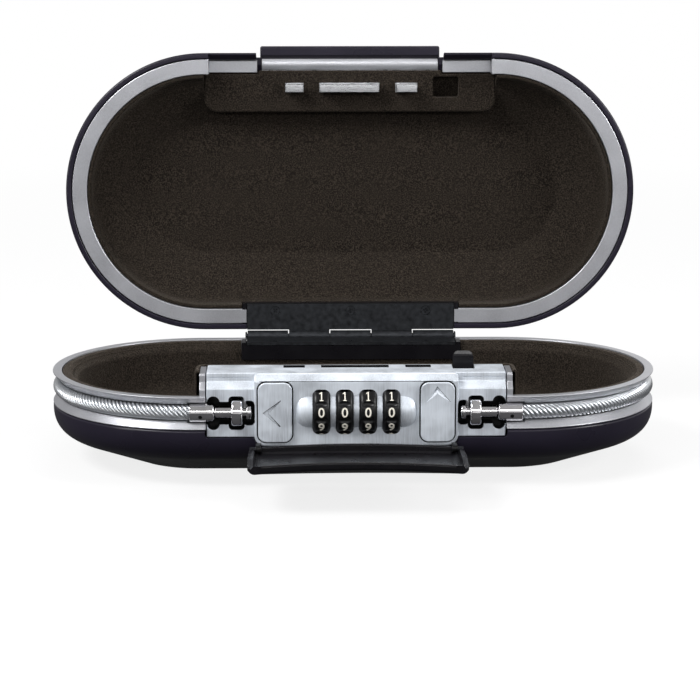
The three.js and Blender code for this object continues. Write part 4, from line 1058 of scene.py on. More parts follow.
def base_lining():
    edge = CHANNEL_DEPTH + 2.6
    top = [(3.8, 5.9), (3.8, 4.8), (7.9, 4.8), (7.9, -6.6), (2.6, -6.6)]
    back = [(inset, -rise) for inset, rise in foam_back(7.3)]
    face = [(inset, -rise) for inset, rise in foam_face(edge, 6)[::-1]]
    points = top + back + face + [(edge, 2.6), (edge - 3.9, 5.9)]
    floor = len(top) + len(back) + 1
    radii = {0: 0.3, floor: 3, len(points) - 2: 2.0, len(points) - 1: 1.2}
    section = rounded(points, radii, 6)
    bowl = swept("base_lining", lifted(section), arc_steps=72)
    hollow_back = LINER_WALL_BACK - LINER_WALL

    def hollow():
        corners = [
            (-LINER_WALL_X, CUT_FRONT), (LINER_WALL_X, CUT_FRONT), (LINER_WALL_X, hollow_back),
            (-LINER_WALL_X, hollow_back),
        ]
        return prism("hollow", rounded(corners, {2: 2.5, 3: 2.5}), rises(-13.4, 40), "Z")

    outer = LINER_WALL_X + LINER_WALL
    corners = [(-outer, -49.1), (outer, -49.1), (outer, LINER_WALL_BACK), (-outer, LINER_WALL_BACK)]
    wall = cut(prism("wall", rounded(corners, {2: 4, 3: 4}), rises(-14, 14.5), "Z"), hollow())
    soften(wall, 0.7, 4)
    bounds = add(
        cavity("bounds", 0, -1, SHELL_WALL + SEAM),
        brick("upper", centred(outer + 1), (LINER_FRONT, LINER_WALL_BACK + 1), rises(-0.1, 14.6)),
    )
    keep(wall, bounds)
    cut(bowl, hollow())
    add(bowl, wall)
    hinge_room = brick("hinge_room", HINGE_ROOM, (LAND_FRONT - 0.4, OUTER_RADIUS), rises(-1.3, 30))
    return smooth(cut(bowl, hinge_room), 40)


def lid_lining():
    face = foam_face(10.5, 6.9)[::-1]
    start = [(9.2, 6.9), (9.2, 9.2), (4.1, 9.2), (4.1, 13)]
    back = foam_back(14)
    points = start + back + face
    floor = len(start) + len(back) + 1
    section = rounded(points, {0: 0.4, floor: 3, len(points) - 1: 0.5}, 6)
    bowl = swept("lid_lining", lifted(section), arc_steps=72)
    lock_room = brick("lock_room", centred(SHELF_HALF), (CUT_FRONT, -34.9), rises(0, 16.8))
    cut(bowl, lock_room)
    shelf_back = LINER_WALL_BACK + 2
    corners = [
        (-SHELF_HALF, LINER_FRONT), (-PLATE_HALF, LINER_FRONT), (-PLATE_HALF, -50.8),
        (PLATE_HALF, -50.8), (PLATE_HALF, LINER_FRONT), (SHELF_HALF, LINER_FRONT),
        (SHELF_HALF, shelf_back), (-SHELF_HALF, shelf_back),
    ]
    shelf = prism("shelf", rounded(corners, {6: 6, 7: 6}, 8), rises(SHELF_RISE, 18.8), "Z")
    soften(shelf, 0.8, 4)
    add(bowl, keep(shelf, cavity("inside", RIM_RISE, 1, SHELL_WALL + SEAM)))
    rooms = [
        brick("plate_room", centred(37.6), (-57.3, -40.1), rises(16.8, ROOM_TOP)),
        brick("nose_room", centred(37.6), (-60.0, -50.8), rises(10, ROOM_TOP)),
        *both_sides("panel_room", (38.9, SHELF_HALF), (-57.0, LINER_FRONT), rises(9, 16.9)),
        brick("hinge_room", HINGE_ROOM, (LAND_FRONT - 0.4, OUTER_RADIUS), rises(0, 11.5)),
        lever_pocket(rises(14, 30)),
        *[
            brick("tang_slot", (x0 - 0.4, x1 + 0.4), (-45.6, -41.6), rises(15, 18))
            for x0, x1 in TANG_SPANS
        ],
    ]
    return smooth(cut(bowl, *rooms), 40)


class CARSAFE_OT_linings(bpy.types.Operator):
    """Build the flocked foam linings"""
    bl_idname = "car_safe.linings"
    bl_label = "Linings"

    def execute(self, context):
        pieces = [base_lining(), open_lid(lid_lining())]
        hand_over(pieces[0], "base", ["base_liner"], ["flocked_foam"])
        hand_over(pieces[1], "lid", ["lid_liner"], ["flocked_foam"])
        return {"FINISHED"}


# Lock body


def box_room(x, y, z):
    return brick("room", x, y, rises(*z))


def fitting_room(side):
    """The three-lobed well that an end of the rope lies in, its walls dark as painted shade. side
    is 0 for the right one.
    """
    depth = (PLATE_FRONT - 2, ROPE_Y + 5.4)
    lobes = [((51.6, 56.4), 6.5, 2.4), ((42.2, 48.3), 6.5, 1.6), ((38.3, 42.9), 4.8, 1.8)]
    well = [brick("stem_room", either_side(*TIP_ROOM)[side], depth, rises(-4.4, 4.4))]
    for x, half, corner in lobes:
        face = rounded_box(either_side(*x)[side], rises(-half, half), corner)
        well.append(prism("lobe", face, depth, "Y"))
    return [mark(tool, 1) for tool in well]


def lock_rooms():
    """Everything that is hollow inside the lock."""
    back = HOUSING_BACK + 1
    right_slot, left_slot = either_side(*SLOT_SPAN)
    rooms = both_sides("side_room", (19.5, 38.2), (ROOM_FRONT, back), rises(-10.4, 13.2))
    rooms += [
        box_room((-35.0, 36.0), (-46.7, back), (9, 13.2)),
        box_room(centred(18.6), (-42.65, back), (-9, 8.6)),
        rod("shaft_room", centred(20), 2.25, "X", (DIAL_Y, at(DIAL_RISE)), 24),
        box_room((LEVER_X - 4.25, LEVER_X + 4.25), (-48.6, back), (7.2, 20)),
        box_room(right_slot, (ROOM_FRONT, -48.0), (-0.4, 6.8)),
        box_room(left_slot, (ROOM_FRONT, -48.0), (-0.4, 10.2)),
        box_room(left_slot, (-53.9, -48.0), (-0.4, 13.2)),
        box_room((-43.05, -38.0), (-50.0, -48.0), (4.2, 13.2)),
        box_room((-37.0, -27.9), (-60.5, -55.2), (-2.2, 3.4)),
        box_room((27.9, 33.5), (-60.5, -55.2), (-2.2, 6.9)),
    ]
    cover_hinge, side_screw = (COVER_HINGE_Y, at(COVER_HINGE_RISE)), (SIDE_SCREW_Y, at(0))
    rooms += [rod("hole", span, 1.1, "X", cover_hinge, 24) for span in either_side(35.0, 39.1)]
    rooms += [rod("hole", span, 1.45, "X", side_screw, 24) for span in either_side(52.0, 60.6)]
    for x in (-52, 52):
        rooms += [rod("hole", (-46.5, back), 1.45, "Y", (x, at(rise)), 24) for rise in (-6.8, 6.8)]
    return rooms


def lock_body():
    body = prism(
        "lock_body", end_outline(0, HOUSING_TOP, -END_RISE, HOUSING_BACK),
        centred(HOUSING_HALF), "X",
    )
    soften(body, 0.45, 3)
    span = centred(PLATE_HALF)
    side = [
        (PLATE_FRONT, at(PLATE_BOTTOM)), (PLATE_FRONT, at(PLATE_TOP)),
        (PLATE_FRONT + 2.2, at(HOUSING_TOP)), (HOUSING_BACK, at(HOUSING_TOP)),
        (HOUSING_BACK, at(PLATE_BOTTOM)),
    ]
    plate = prism("plate", side, span, "X")
    face = rounded_box(span, rises(PLATE_BOTTOM, HOUSING_TOP), {0: 4, 1: 4, 2: 1.5, 3: 1.5})
    soften(keep(plate, prism("face", face, (-60, -40), "Y")), 0.65, 4, 25)
    ends = [
        (
            BULGE_HALF - 5.25 * (1 - math.sin(math.pi / 2 * i / 10)),
            5.6 + 2.6 * math.cos(math.pi / 2 * i / 10),
        )
        for i in range(10, -1, -1)
    ]
    pill = turned(
        "pill", [(-BULGE_HALF, 0)] + [(-x, r) for x, r in ends] + ends[::-1] + [(BULGE_HALF, 0)],
        "X", (DIAL_Y, at(DIAL_RISE)), 96,
    )
    keep(pill, brick("front", span, (CUT_FRONT, ROOM_FRONT), rises(-8.5, 9.5)))
    lug = [
        (-58.0, -11.3), (-61.0, -11.3), (-63.5, -11.5), (-63.5, -14.5), (-58.7, -14.5),
        (-58.7, -12.4), (-58.0, -12.4),
    ]
    lug = rounded(lifted(lug), {2: 1.45, 3: 1.45}, 6)
    lugs = [soften(prism("lug", lug, x, "X"), 0.2, 2, 50) for x in either_side(36.0, 38.1)]
    add(body, plate, pill, *[mark(lug, 1) for lug in lugs])
    slots = []
    for x in DIAL_PLACES:
        span = (x - DIAL_WIDTH / 2 - 0.25, x + DIAL_WIDTH / 2 + 0.25)
        slots.append(
            prism(
                "window", rounded_box(span, rises(DIAL_RISE - 8.65, DIAL_RISE + 8.65), 2.4, 8),
                (-64, -57.3), "Y",
            )
        )
        drum = rod("drum", span, DIAL_RADIUS + 0.35, "X", (DIAL_Y, at(DIAL_RISE)), 96)
        slots.append(
            keep(drum, brick("behind", (span[0] - 1, span[1] + 1), (-57.4, -30), rises(-12, 14)))
        )
    for x in (-BUTTON_X, BUTTON_X):
        span, depth = (x - 6.95, x + 6.95), (PLATE_FRONT - 1, PLATE_FRONT + 0.9)
        slots.append(
            prism(
                "well", rounded_box(span, rises(DIAL_RISE - 12.0, DIAL_RISE + 11.95), 3.5, 8),
                depth, "Y",
            )
        )
    for x0, x1 in TANG_SPANS:
        slots.append(brick("tang_slot", (x0 - 0.6, x1 + 0.6), (-45.8, -41.3), rises(12.2, 20)))
    # The walls of the dial windows, the rooms behind the dials, the button wells and the tang slots
    # take the dark material: painted shade inside them.
    slots = [mark(slot, 1) for slot in slots]
    lines = [
        # This thin groove takes the dark material: a painted shadow line where the top bevel meets
        # the face plate.
        mark(brick("line", centred(36.5), (-59, -58.2), rises(12.2, 12.45)), 1),
        brick("index", centred(18.4), (-62, -60.87), rises(DIAL_RISE - 0.1, DIAL_RISE + 0.1)),
        *both_sides("waist", (40.6, 57), (-55.4, -54.6), rises(13.0, 13.5)),
    ]
    cut(body, *slots, *lines, *fitting_room(0), *fitting_room(1), *lock_rooms())
    return smooth(body, 30)


class CARSAFE_OT_lock_body(bpy.types.Operator):
    """Build the die-cast body of the lock"""
    bl_idname = "car_safe.lock_body"
    bl_label = "Lock body"

    def execute(self, context):
        hand_over(lock_body(), "base", ["lock_housing"], ["die_cast_zinc", "black_nylon"])
        return {"FINISHED"}


# Dials


def gather(name, parts):
    """One piece out of several, each with its own material number."""
    work = bmesh.new()
    for number, part in enumerate(parts):
        first = len(work.faces)
        work.from_mesh(part.data)
        work.faces.ensure_lookup_table()
        for face in work.faces[first:]:
            face.material_index = number
    mesh = bpy.data.meshes.new(name)
    work.to_mesh(mesh)
    work.free()
    for part in parts:
        bpy.data.meshes.remove(part.data)
    return in_scene(name, mesh)


def on_dial(x, radius, angle):
    """A place on a dial, turned up from the front by an angle."""
    return (x, DIAL_Y - radius * math.cos(angle), at(DIAL_RISE) + radius * math.sin(angle))


def dial_drum(centre):
    """The dial's ring, with a finger scoop between each two numbers."""
    half, rows, columns, bore = DIAL_WIDTH / 2, 18, 300, 4.55
    points = []
    for column in range(columns):
        angle = 2 * math.pi * column / columns
        turned_by = (math.degrees(angle) - NUMBER_TILT) % NUMBER_STEP - NUMBER_STEP / 2
        between = turned_by / 180 * math.pi * DIAL_RADIUS
        rim = []
        for row in range(rows + 1):
            x = -half * math.cos(math.pi * row / rows)
            radius = DIAL_RADIUS - 0.9 * abs(x / half) ** 6
            dip = 1 - (between / SCOOP_HALF[1]) ** 2 - (x / SCOOP_HALF[0]) ** 2
            rim.append((x, radius - (SCOOP_DEPTH * dip ** 0.6 if dip > 0 else 0)))
        rim = [(-half, bore)] + rim + [(half, bore)]
        points += [on_dial(centre + x, radius, angle) for x, radius in rim]
    return new_piece("drum", points, loops_to_faces(rows + 3, columns, True))


ONE = [
    (-0.13, 0), (0.13, 0), (0.13, 0.06), (0.04, 0.06), (0.04, 0.7), (-0.03, 0.7), (-0.15, 0.6),
    (-0.15, 0.53), (-0.04, 0.6), (-0.04, 0.06), (-0.13, 0.06),
]


def flat_number(number, stroke):
    """One number as a flat solid. The built-in font's 1 is a bare stroke, so that one is drawn."""
    if number == 1:
        mesh = bpy.data.meshes.new("one")
        mesh.from_pydata(
            [(x, y, z) for z in (-0.1, 0.1) for x, y in ONE], [], loops_to_faces(len(ONE), 2, False)
        )
        return mesh
    text = bpy.data.curves.new(f"number_{number}", "FONT")
    text.body = str(number)
    text.size = 1
    text.align_x = "CENTER"
    text.offset = stroke
    text.extrude = 0.1
    mesh = as_seen(in_scene("number", text))
    bpy.data.curves.remove(text)
    return mesh


def dial_numbers(centre, height, stroke):
    """Ten raised numbers wrapped round the dial, the next number above the one in front."""
    work = bmesh.new()
    for number in range(NUMBER_COUNT):
        flat = flat_number(number, stroke)
        digit = bmesh.new()
        digit.from_mesh(flat)
        bpy.data.meshes.remove(flat)
        bmesh.ops.triangulate(digit, faces=digit.faces[:])
        low = min(v.co.y for v in digit.verts)
        high = max(v.co.y for v in digit.verts)
        left = min(v.co.x for v in digit.verts)
        right = max(v.co.x for v in digit.verts)
        scale = height / (high - low)
        for v in digit.verts:
            v.co.x = (v.co.x - (left + right) / 2) * min(scale, NUMBER_WIDTH / (right - left))
            v.co.y = (v.co.y - (low + high) / 2) * scale
        for line in range(-4, 5):
            everything = digit.verts[:] + digit.edges[:] + digit.faces[:]
            bmesh.ops.bisect_plane(
                digit, geom=everything, plane_co=(0, line * height / 10, 0), plane_no=(0, 1, 0)
            )
        bmesh.ops.remove_doubles(digit, verts=digit.verts, dist=0.001)
        for v in digit.verts:
            angle = v.co.y / DIAL_RADIUS + math.radians(NUMBER_STEP * number + NUMBER_TILT)
            radius = DIAL_RADIUS + (NUMBER_RELIEF if v.co.z > 0 else -NUMBER_ROOT)
            v.co = Vector(on_dial(centre + v.co.x, radius, angle)) * MM
        bmesh.ops.recalc_face_normals(digit, faces=digit.faces)
        wrapped = bpy.data.meshes.new("wrapped")
        digit.to_mesh(wrapped)
        digit.free()
        work.from_mesh(wrapped)
        bpy.data.meshes.remove(wrapped)
    mesh = bpy.data.meshes.new("numbers")
    work.to_mesh(mesh)
    work.free()
    return in_scene("numbers", mesh)


class CARSAFE_OT_dials(bpy.types.Operator):
    """Build the four dials with their numbers"""
    bl_idname = "car_safe.dials"
    bl_label = "Dials"

    def execute(self, context):
        sizes = context.scene.car_safe_sizes
        height = sizes.number_height / MM
        for count, centre in enumerate(DIAL_PLACES, 1):
            parts = [dial_drum(centre), dial_numbers(centre, height, sizes.number_weight)]
            piece = smooth(gather(f"number_dial_{count}", parts), 50)
            hand_over(
                piece, f"dial_{count}", [f"dial_{count}"],
                ["black_nylon", "number_paint"],
            )
        return {"FINISHED"}


# Buttons and reset tab


def etched(points, floor):
    """A cutter for a mark in a button. Its floor takes the material with that number, and its walls
    take the dark material, painted shade inside the groove."""
    tool = prism("etched", lifted(points), (MARK_FRONT, MARK_FLOOR), "Y")
    # The walls get the dark material: painted shade.
    mark(tool, 2)
    for face in tool.data.polygons[-2:]:
        face.material_index = floor
    return tool


def facet(deep, tip, shallow):
    """A cutter for one leg of an arrow mark. It slopes back from its foot, so that it faces the
    sky."""
    rim, depths = [deep, tip, shallow], (0.8, 0.12, -0.05)
    points = [(x, MARK_FRONT, at(rise)) for x, rise in rim]
    points += [(x, CAP_FRONT + depth, at(rise)) for (x, rise), depth in zip(rim, depths)]
    return new_piece(
        "facet", points, [(0, 1, 2), (3, 5, 4), (0, 1, 4, 3), (1, 2, 5, 4), (2, 0, 3, 5)]
    )


def button(name, centre, *arrow):
    half_x, half_z = BUTTON_HALF
    outline = rounded_box(
        (centre - half_x, centre + half_x), rises(DIAL_RISE - half_z, DIAL_RISE + half_z), 3, 10
    )
    cap = soften(prism(name, outline, (CAP_FRONT, CAP_BACK), "Y"), 0.45, 8, 50)
    cut(cap, *arrow)
    stem = brick(
        "stem", (centre - 2.5, centre + 2.5), (-58.95, -55.7),
        rises(DIAL_RISE - 2.5, DIAL_RISE + 2.5),
    )
    flange = brick(
        "flange", (centre - 3.8, centre + 3.8), (-55.9, -54.7), rises(DIAL_RISE - 5, DIAL_RISE + 5)
    )
    pin = rod("pin", (-55.2, -47.9), 1.5, "Y", (centre, at(DIAL_RISE)), 32)
    return smooth(add(cap, stem, flange, pin), 13)


def reset_tab():
    side = [
        (-45.4, 7.6), (-45.4, 9.6), (-43.6, 9.6), (-43.6, 18.9), (-42.8, 19.6), (-40.9, 20.5),
        (-40.6, 20.2), (-40.6, 7.6),
    ]
    span = (LEVER_X - 3.95, LEVER_X + 3.95)
    tab = prism("reset_tab", lifted(side), span, "X")
    front = rounded_box(span, rises(7, 20.6), {2: 2.4, 3: 2.4}, 8)
    return smooth(soften(keep(tab, prism("front", front, (-50, -38), "Y")), 0.35, 3))


class CARSAFE_OT_buttons(bpy.types.Operator):
    """Build the two sliding buttons and the reset tab"""
    bl_idname = "car_safe.buttons"
    bl_label = "Buttons and tab"

    def execute(self, context):
        # The two thin strokes of the left arrow have dark floors: painted shadow lines along the
        # groove's shaded edges.
        left = [
            etched([(-35.1, 0.4), (-28.5, 5.0), (-33.2, 0.3), (-28.9, -4.9)], 0),
            etched([(-35.3, 0.5), (-28.4, 5.5), (-28.5, 5.05), (-35.1, 0.35)], 2),
            etched([(-33.1, 0.3), (-28.6, -4.6), (-28.9, -4.85), (-33.3, 0.2)], 2),
        ]
        right = [
            facet((30.4, 10.4), (35.3, 4.7), (30.5, 7.7)),
            facet((30.4, 10.4), (26.0, 4.2), (30.5, 7.7)),
            # This thin stroke along the right arrow's outer edge has a dark floor: a painted shadow
            # line.
            etched([(30.4, 10.6), (35.6, 4.6), (35.3, 4.7), (30.4, 10.35)], 2),
        ]
        # The third finish is the dark one for the groove walls and the painted shadow lines.
        zinc = ["die_cast_zinc", "die_cast_zinc", "black_nylon"]
        hand_over(
            button("rope_button", -BUTTON_X, *left), "cable_button", ["cable_button"], zinc
        )
        hand_over(
            button("lid_button", BUTTON_X, *right), "open_button", ["open_button"], zinc
        )
        hand_over(reset_tab(), "reset_lever", ["reset_lever"], ["textured_abs"])
        return {"FINISHED"}


# Wire rope, made along its route by Geometry Nodes


def shape_tree(name, inputs):
    """A Geometry Nodes tree with an input for each (name, kind), and those inputs by name."""
    tree = bpy.data.node_groups.new(name, "GeometryNodeTree")
    tree.interface.new_socket("Geometry", in_out="INPUT", socket_type="NodeSocketGeometry")
    for label, kind in inputs:
        tree.interface.new_socket(label, in_out="INPUT", socket_type=kind)
    tree.interface.new_socket("Geometry", in_out="OUTPUT", socket_type="NodeSocketGeometry")
    return tree, node(tree, "NodeGroupInput").outputs


def grow(name, points, edges, tree, values):
    """Run a tree on points and edges with these input values, and keep the result as a mesh."""
    mesh = bpy.data.meshes.new(name)
    mesh.from_pydata([Vector(point) * MM for point in points], edges, [])
    piece = in_scene(name, mesh)
    step = piece.modifiers.new(tree.name, "NODES")
    step.node_group = tree
    for socket in tree.interface.items_tree:
        if socket.name in values:
            step[socket.identifier] = values[socket.name]
    return settle(piece)


def rope_tree():
    tree, given = shape_tree(
        "laid rope",
        [
            ("Strands", "NodeSocketInt"), ("Lay", "NodeSocketFloat"),
            ("Strand Radius", "NodeSocketFloat"), ("Ring Radius", "NodeSocketFloat"),
            ("Core Radius", "NodeSocketFloat"), ("Material", "NodeSocketMaterial"),
        ],
    )
    route = node(tree, "GeometryNodeMeshToCurve", {"Mesh": given["Geometry"]})
    even = node(
        tree, "GeometryNodeResampleCurve", {"Curve": route.outputs[0], "Length": 0.7 * MM},
        mode="LENGTH",
    )
    copies = node(tree, "GeometryNodeDuplicateElements", {
        "Geometry": even.outputs[0], "Amount": given["Strands"],
    }, domain="SPLINE")
    share = node(tree, "ShaderNodeMath", {
        0: copies.outputs["Duplicate Index"], 1: given["Strands"],
    }, operation="DIVIDE")
    along = node(tree, "GeometryNodeSplineParameter")
    turns = node(
        tree, "ShaderNodeMath", {0: along.outputs["Length"], 1: given["Lay"]}, operation="DIVIDE"
    )
    total = node(
        tree, "ShaderNodeMath", {0: share.outputs[0], 1: turns.outputs[0]}, operation="SUBTRACT"
    )
    angle = node(
        tree, "ShaderNodeMath", {0: total.outputs[0], 1: 2 * math.pi}, operation="MULTIPLY"
    )
    sideways = node(tree, "ShaderNodeMath", {0: angle.outputs[0]}, operation="COSINE")
    upwards = node(tree, "ShaderNodeMath", {0: angle.outputs[0]}, operation="SINE")
    tangent = node(tree, "GeometryNodeInputTangent")
    across = node(
        tree, "ShaderNodeVectorMath", {0: tangent.outputs[0], 1: (0, 0, 1)},
        operation="CROSS_PRODUCT",
    )
    level = node(
        tree, "ShaderNodeVectorMath", {0: across.outputs[0], "Scale": sideways.outputs[0]},
        operation="SCALE",
    )
    lift = node(tree, "ShaderNodeCombineXYZ", {"Z": upwards.outputs[0]})
    spoke = node(
        tree, "ShaderNodeVectorMath", {0: level.outputs[0], 1: lift.outputs[0]}, operation="ADD"
    )
    offset = node(
        tree, "ShaderNodeVectorMath", {0: spoke.outputs[0], "Scale": given["Ring Radius"]},
        operation="SCALE",
    )
    laid = node(tree, "GeometryNodeSetPosition", {
        "Geometry": copies.outputs[0], "Offset": offset.outputs[0],
    })
    wire = node(tree, "GeometryNodeCurvePrimitiveCircle", {
        "Resolution": 10, "Radius": given["Strand Radius"],
    })
    strands = node(tree, "GeometryNodeCurveToMesh", {
        "Curve": laid.outputs[0], "Profile Curve": wire.outputs[0], "Fill Caps": True,
    })
    heart = node(tree, "GeometryNodeCurvePrimitiveCircle", {
        "Resolution": 10, "Radius": given["Core Radius"],
    })
    core = node(tree, "GeometryNodeCurveToMesh", {
        "Curve": even.outputs[0], "Profile Curve": heart.outputs[0], "Fill Caps": True,
    })
    both = node(tree, "GeometryNodeJoinGeometry")
    tree.links.new(strands.outputs[0], both.inputs[0])
    tree.links.new(core.outputs[0], both.inputs[0])
    real = node(tree, "GeometryNodeRealizeInstances", {"Geometry": both.outputs[0]})
    dressed = node(tree, "GeometryNodeSetMaterial", {
        "Geometry": real.outputs[0], "Material": given["Material"],
    })
    node(tree, "NodeGroupOutput", {"Geometry": dressed.outputs[0]})
    return tree


class CARSAFE_OT_rope(bpy.types.Operator):
    """Lay the wire rope in its groove"""
    bl_idname = "car_safe.rope"
    bl_label = "Wire rope"

    def execute(self, context):
        sizes = context.scene.car_safe_sizes
        route = [(ROPE_END, ROPE_Y, HALF_HEIGHT)]
        route += [case_point(station, ROPE_RADIUS, HALF_HEIGHT) for station in case_stations(90)]
        route.append((-ROPE_END, ROPE_Y, HALF_HEIGHT))
        edges = [(i, i + 1) for i in range(len(route) - 1)]
        strand = sizes.strand_radius
        piece = grow(
            "wire_rope", route, edges, rope_tree(),
            {
                "Strands": sizes.strands, "Lay": sizes.lay, "Strand Radius": strand,
                "Ring Radius": ROPE_RADIUS * MM - strand,
                "Core Radius": ROPE_RADIUS * MM - 1.5 * strand,
                "Material": finish_of("jacketed_wire"),
            },
        )
        hand_over(smooth(piece, 60), "base", ["cable"], ["jacketed_wire"])
        return {"FINISHED"}


# Ends of the rope


def reflected(outline, side):
    return outline if side > 0 else [(-x, radius) for x, radius in outline]


def rope_ferrule(name, side):
    outline = [
        (63.0, 3.3), (63.0, 3.8), (54.1, 3.8), (53.6, 3.3), (53.6, 2.0), (60.0, 2.0), (60.0, 3.3)
    ]
    outline = rounded(outline, {1: 0.25, 2: 0.35, 3: 0.3}, 4)
    piece = turned(name, reflected(outline, side), "X", (ROPE_Y, at(0)), 64)
    # The crimp hole takes the dark material: painted shade in the hole.
    crimp = mark(rod("crimp", (-61.0, ROPE_Y - 3.1), 0.75, "Y", (side * 58.9, at(-1.2)), 24), 1)
    ring = [(55.0, 3.62), (55.35, 3.62), (55.35, 5.0), (55.0, 5.0)]
    score = turned("score", reflected(ring, side), "X", (ROPE_Y, at(0)), 64)
    return smooth(cut(piece, crimp, score))


def rope_pin(name, side):
    outline = [
        (56.6, 0), (56.6, 1.7), (53.3, 1.7), (53.3, 2.55), (47.3, 2.55), (47.3, 5.5), (42.9, 5.5),
        (42.9, 1.9), (41.5, 1.9), (41.5, 3.1), (39.4, 3.1), (39.4, 0),
    ]
    outline = rounded(outline, {3: 0.25, 5: 0.9, 6: 0.9, 9: 0.3, 10: 0.8}, 5)
    return smooth(turned(name, reflected(outline, side), "X", (ROPE_Y, at(0)), 64), 40)


class CARSAFE_OT_rope_ends(bpy.types.Operator):
    """Build the ferrules and the turned pins at the ends of the rope"""
    bl_idname = "car_safe.rope_ends"
    bl_label = "Rope ends"

    def execute(self, context):
        for word, side in (("left", -1), ("right", 1)):
            ferrule = rope_ferrule(f"rope_ferrule_{word}", side)
            hand_over(
                ferrule, "base", [f"cable_ferrule_{word}"], ["nickel_plate", "black_nylon"]
            )
            hand_over(
                rope_pin(f"rope_pin_{word}", side), "base", [f"cable_pin_{word}"],
                ["nickel_plate"],
            )
        return {"FINISHED"}


# Hinge and striker


def hinge_leaf(name, first, z):
    leaf = brick(name, centred(HINGE_HALF), (LEAF_FRONT, OUTER_RADIUS + 0.1), rises(*z))
    length = 2 * HINGE_HALF / 5
    knuckles = []
    for number in range(first, 5, 2):
        x = (number * length - HINGE_HALF + 0.2, (number + 1) * length - HINGE_HALF - 0.2)
        knuckles.append(brick("neck", x, (OUTER_RADIUS - 0.4, HINGE_Y), rises(*z)))
        knuckles.append(rod("knuckle", x, 2.3, "X", (HINGE_Y, at(HINGE_RISE)), 48))
    add(leaf, *knuckles)
    bore = rod("bore", centred(HINGE_HALF + 1), 1.2, "X", (HINGE_Y, at(HINGE_RISE)), 32)
    return smooth(cut(leaf, bore, *hinge_holes(2.05, rises(z[0] - 1, z[1] + 1))))


def striker():
    low, high = STRIKER_RISE, STRIKER_RISE + 1.2
    plate = brick("striker", centred(STRIKER_HALF), (-52.5, -40.4), rises(low, high))
    nose = [
        (-55.7, 16.0), (-54.6, 15.55), (-53.3, 15.4), (-52.0, 15.55), (-51.0, 16.0), (-51.0, high),
        (-55.7, high),
    ]
    nose = rounded(lifted(nose), {5: 0.3, 6: 0.3})
    nose = prism("nose", nose, centred(STRIKER_HALF), "X")
    tangs = []
    for x0, x1 in TANG_SPANS:
        tang = brick("tang", (x0, x1), (TANG_FRONT, TANG_FRONT + TANG_DEPTH), rises(9.3, low + 0.1))
        hook = brick(
            "hook", (x0 - 1, x0 + 1.4), (TANG_FRONT - 1, TANG_FRONT + TANG_DEPTH + 1),
            rises(10.7, 13),
        )
        tangs.append(soften(cut(tang, hook), 0.2, 2))
    add(plate, mark(soften(nose, 0.25, 3), 1), *tangs)
    lever_room = brick(
        "lever_room", (LEVER_X - 6.5, PLATE_HALF + 1.4), (-48.4, -39.0), rises(10, 20)
    )
    return smooth(cut(plate, lever_room, *striker_holes(2.05, rises(low - 1, high + 1))))


class CARSAFE_OT_hinge(bpy.types.Operator):
    """Build the back hinge and the striker plate"""
    bl_idname = "car_safe.hinge"
    bl_label = "Hinge and striker"

    def execute(self, context):
        base_leaf = hinge_leaf("base_leaf", 0, (CHANNEL_RISE - LEAF, CHANNEL_RISE))
        lid_leaf = open_lid(hinge_leaf("lid_leaf", 1, (RIM_RISE, RIM_RISE + LEAF)))
        pin = [
            (-44.8, 0), (-44.8, 1.7), (-44.1, 1.7), (-44.1, 1), (44.1, 1), (44.1, 1.7), (44.8, 1.7),
            (44.8, 0),
        ]
        pin = turned("pivot", rounded(pin, {1: 0.4, 6: 0.4}, 4), "X", (HINGE_Y, at(HINGE_RISE)), 32)
        hand_over(base_leaf, "base", ["hinge_leaf_base"], ["blackened_steel"])
        hand_over(lid_leaf, "lid", ["hinge_leaf_lid"], ["blackened_steel"])
        hand_over(smooth(pin), "base", ["hinge_pin"], ["blackened_steel"])
        hand_over(
            open_lid(striker()), "lid", ["striker_plate"],
            ["plated_steel", "silver_paint"],
        )
        return {"FINISHED"}


# Screws, one tree for all of them


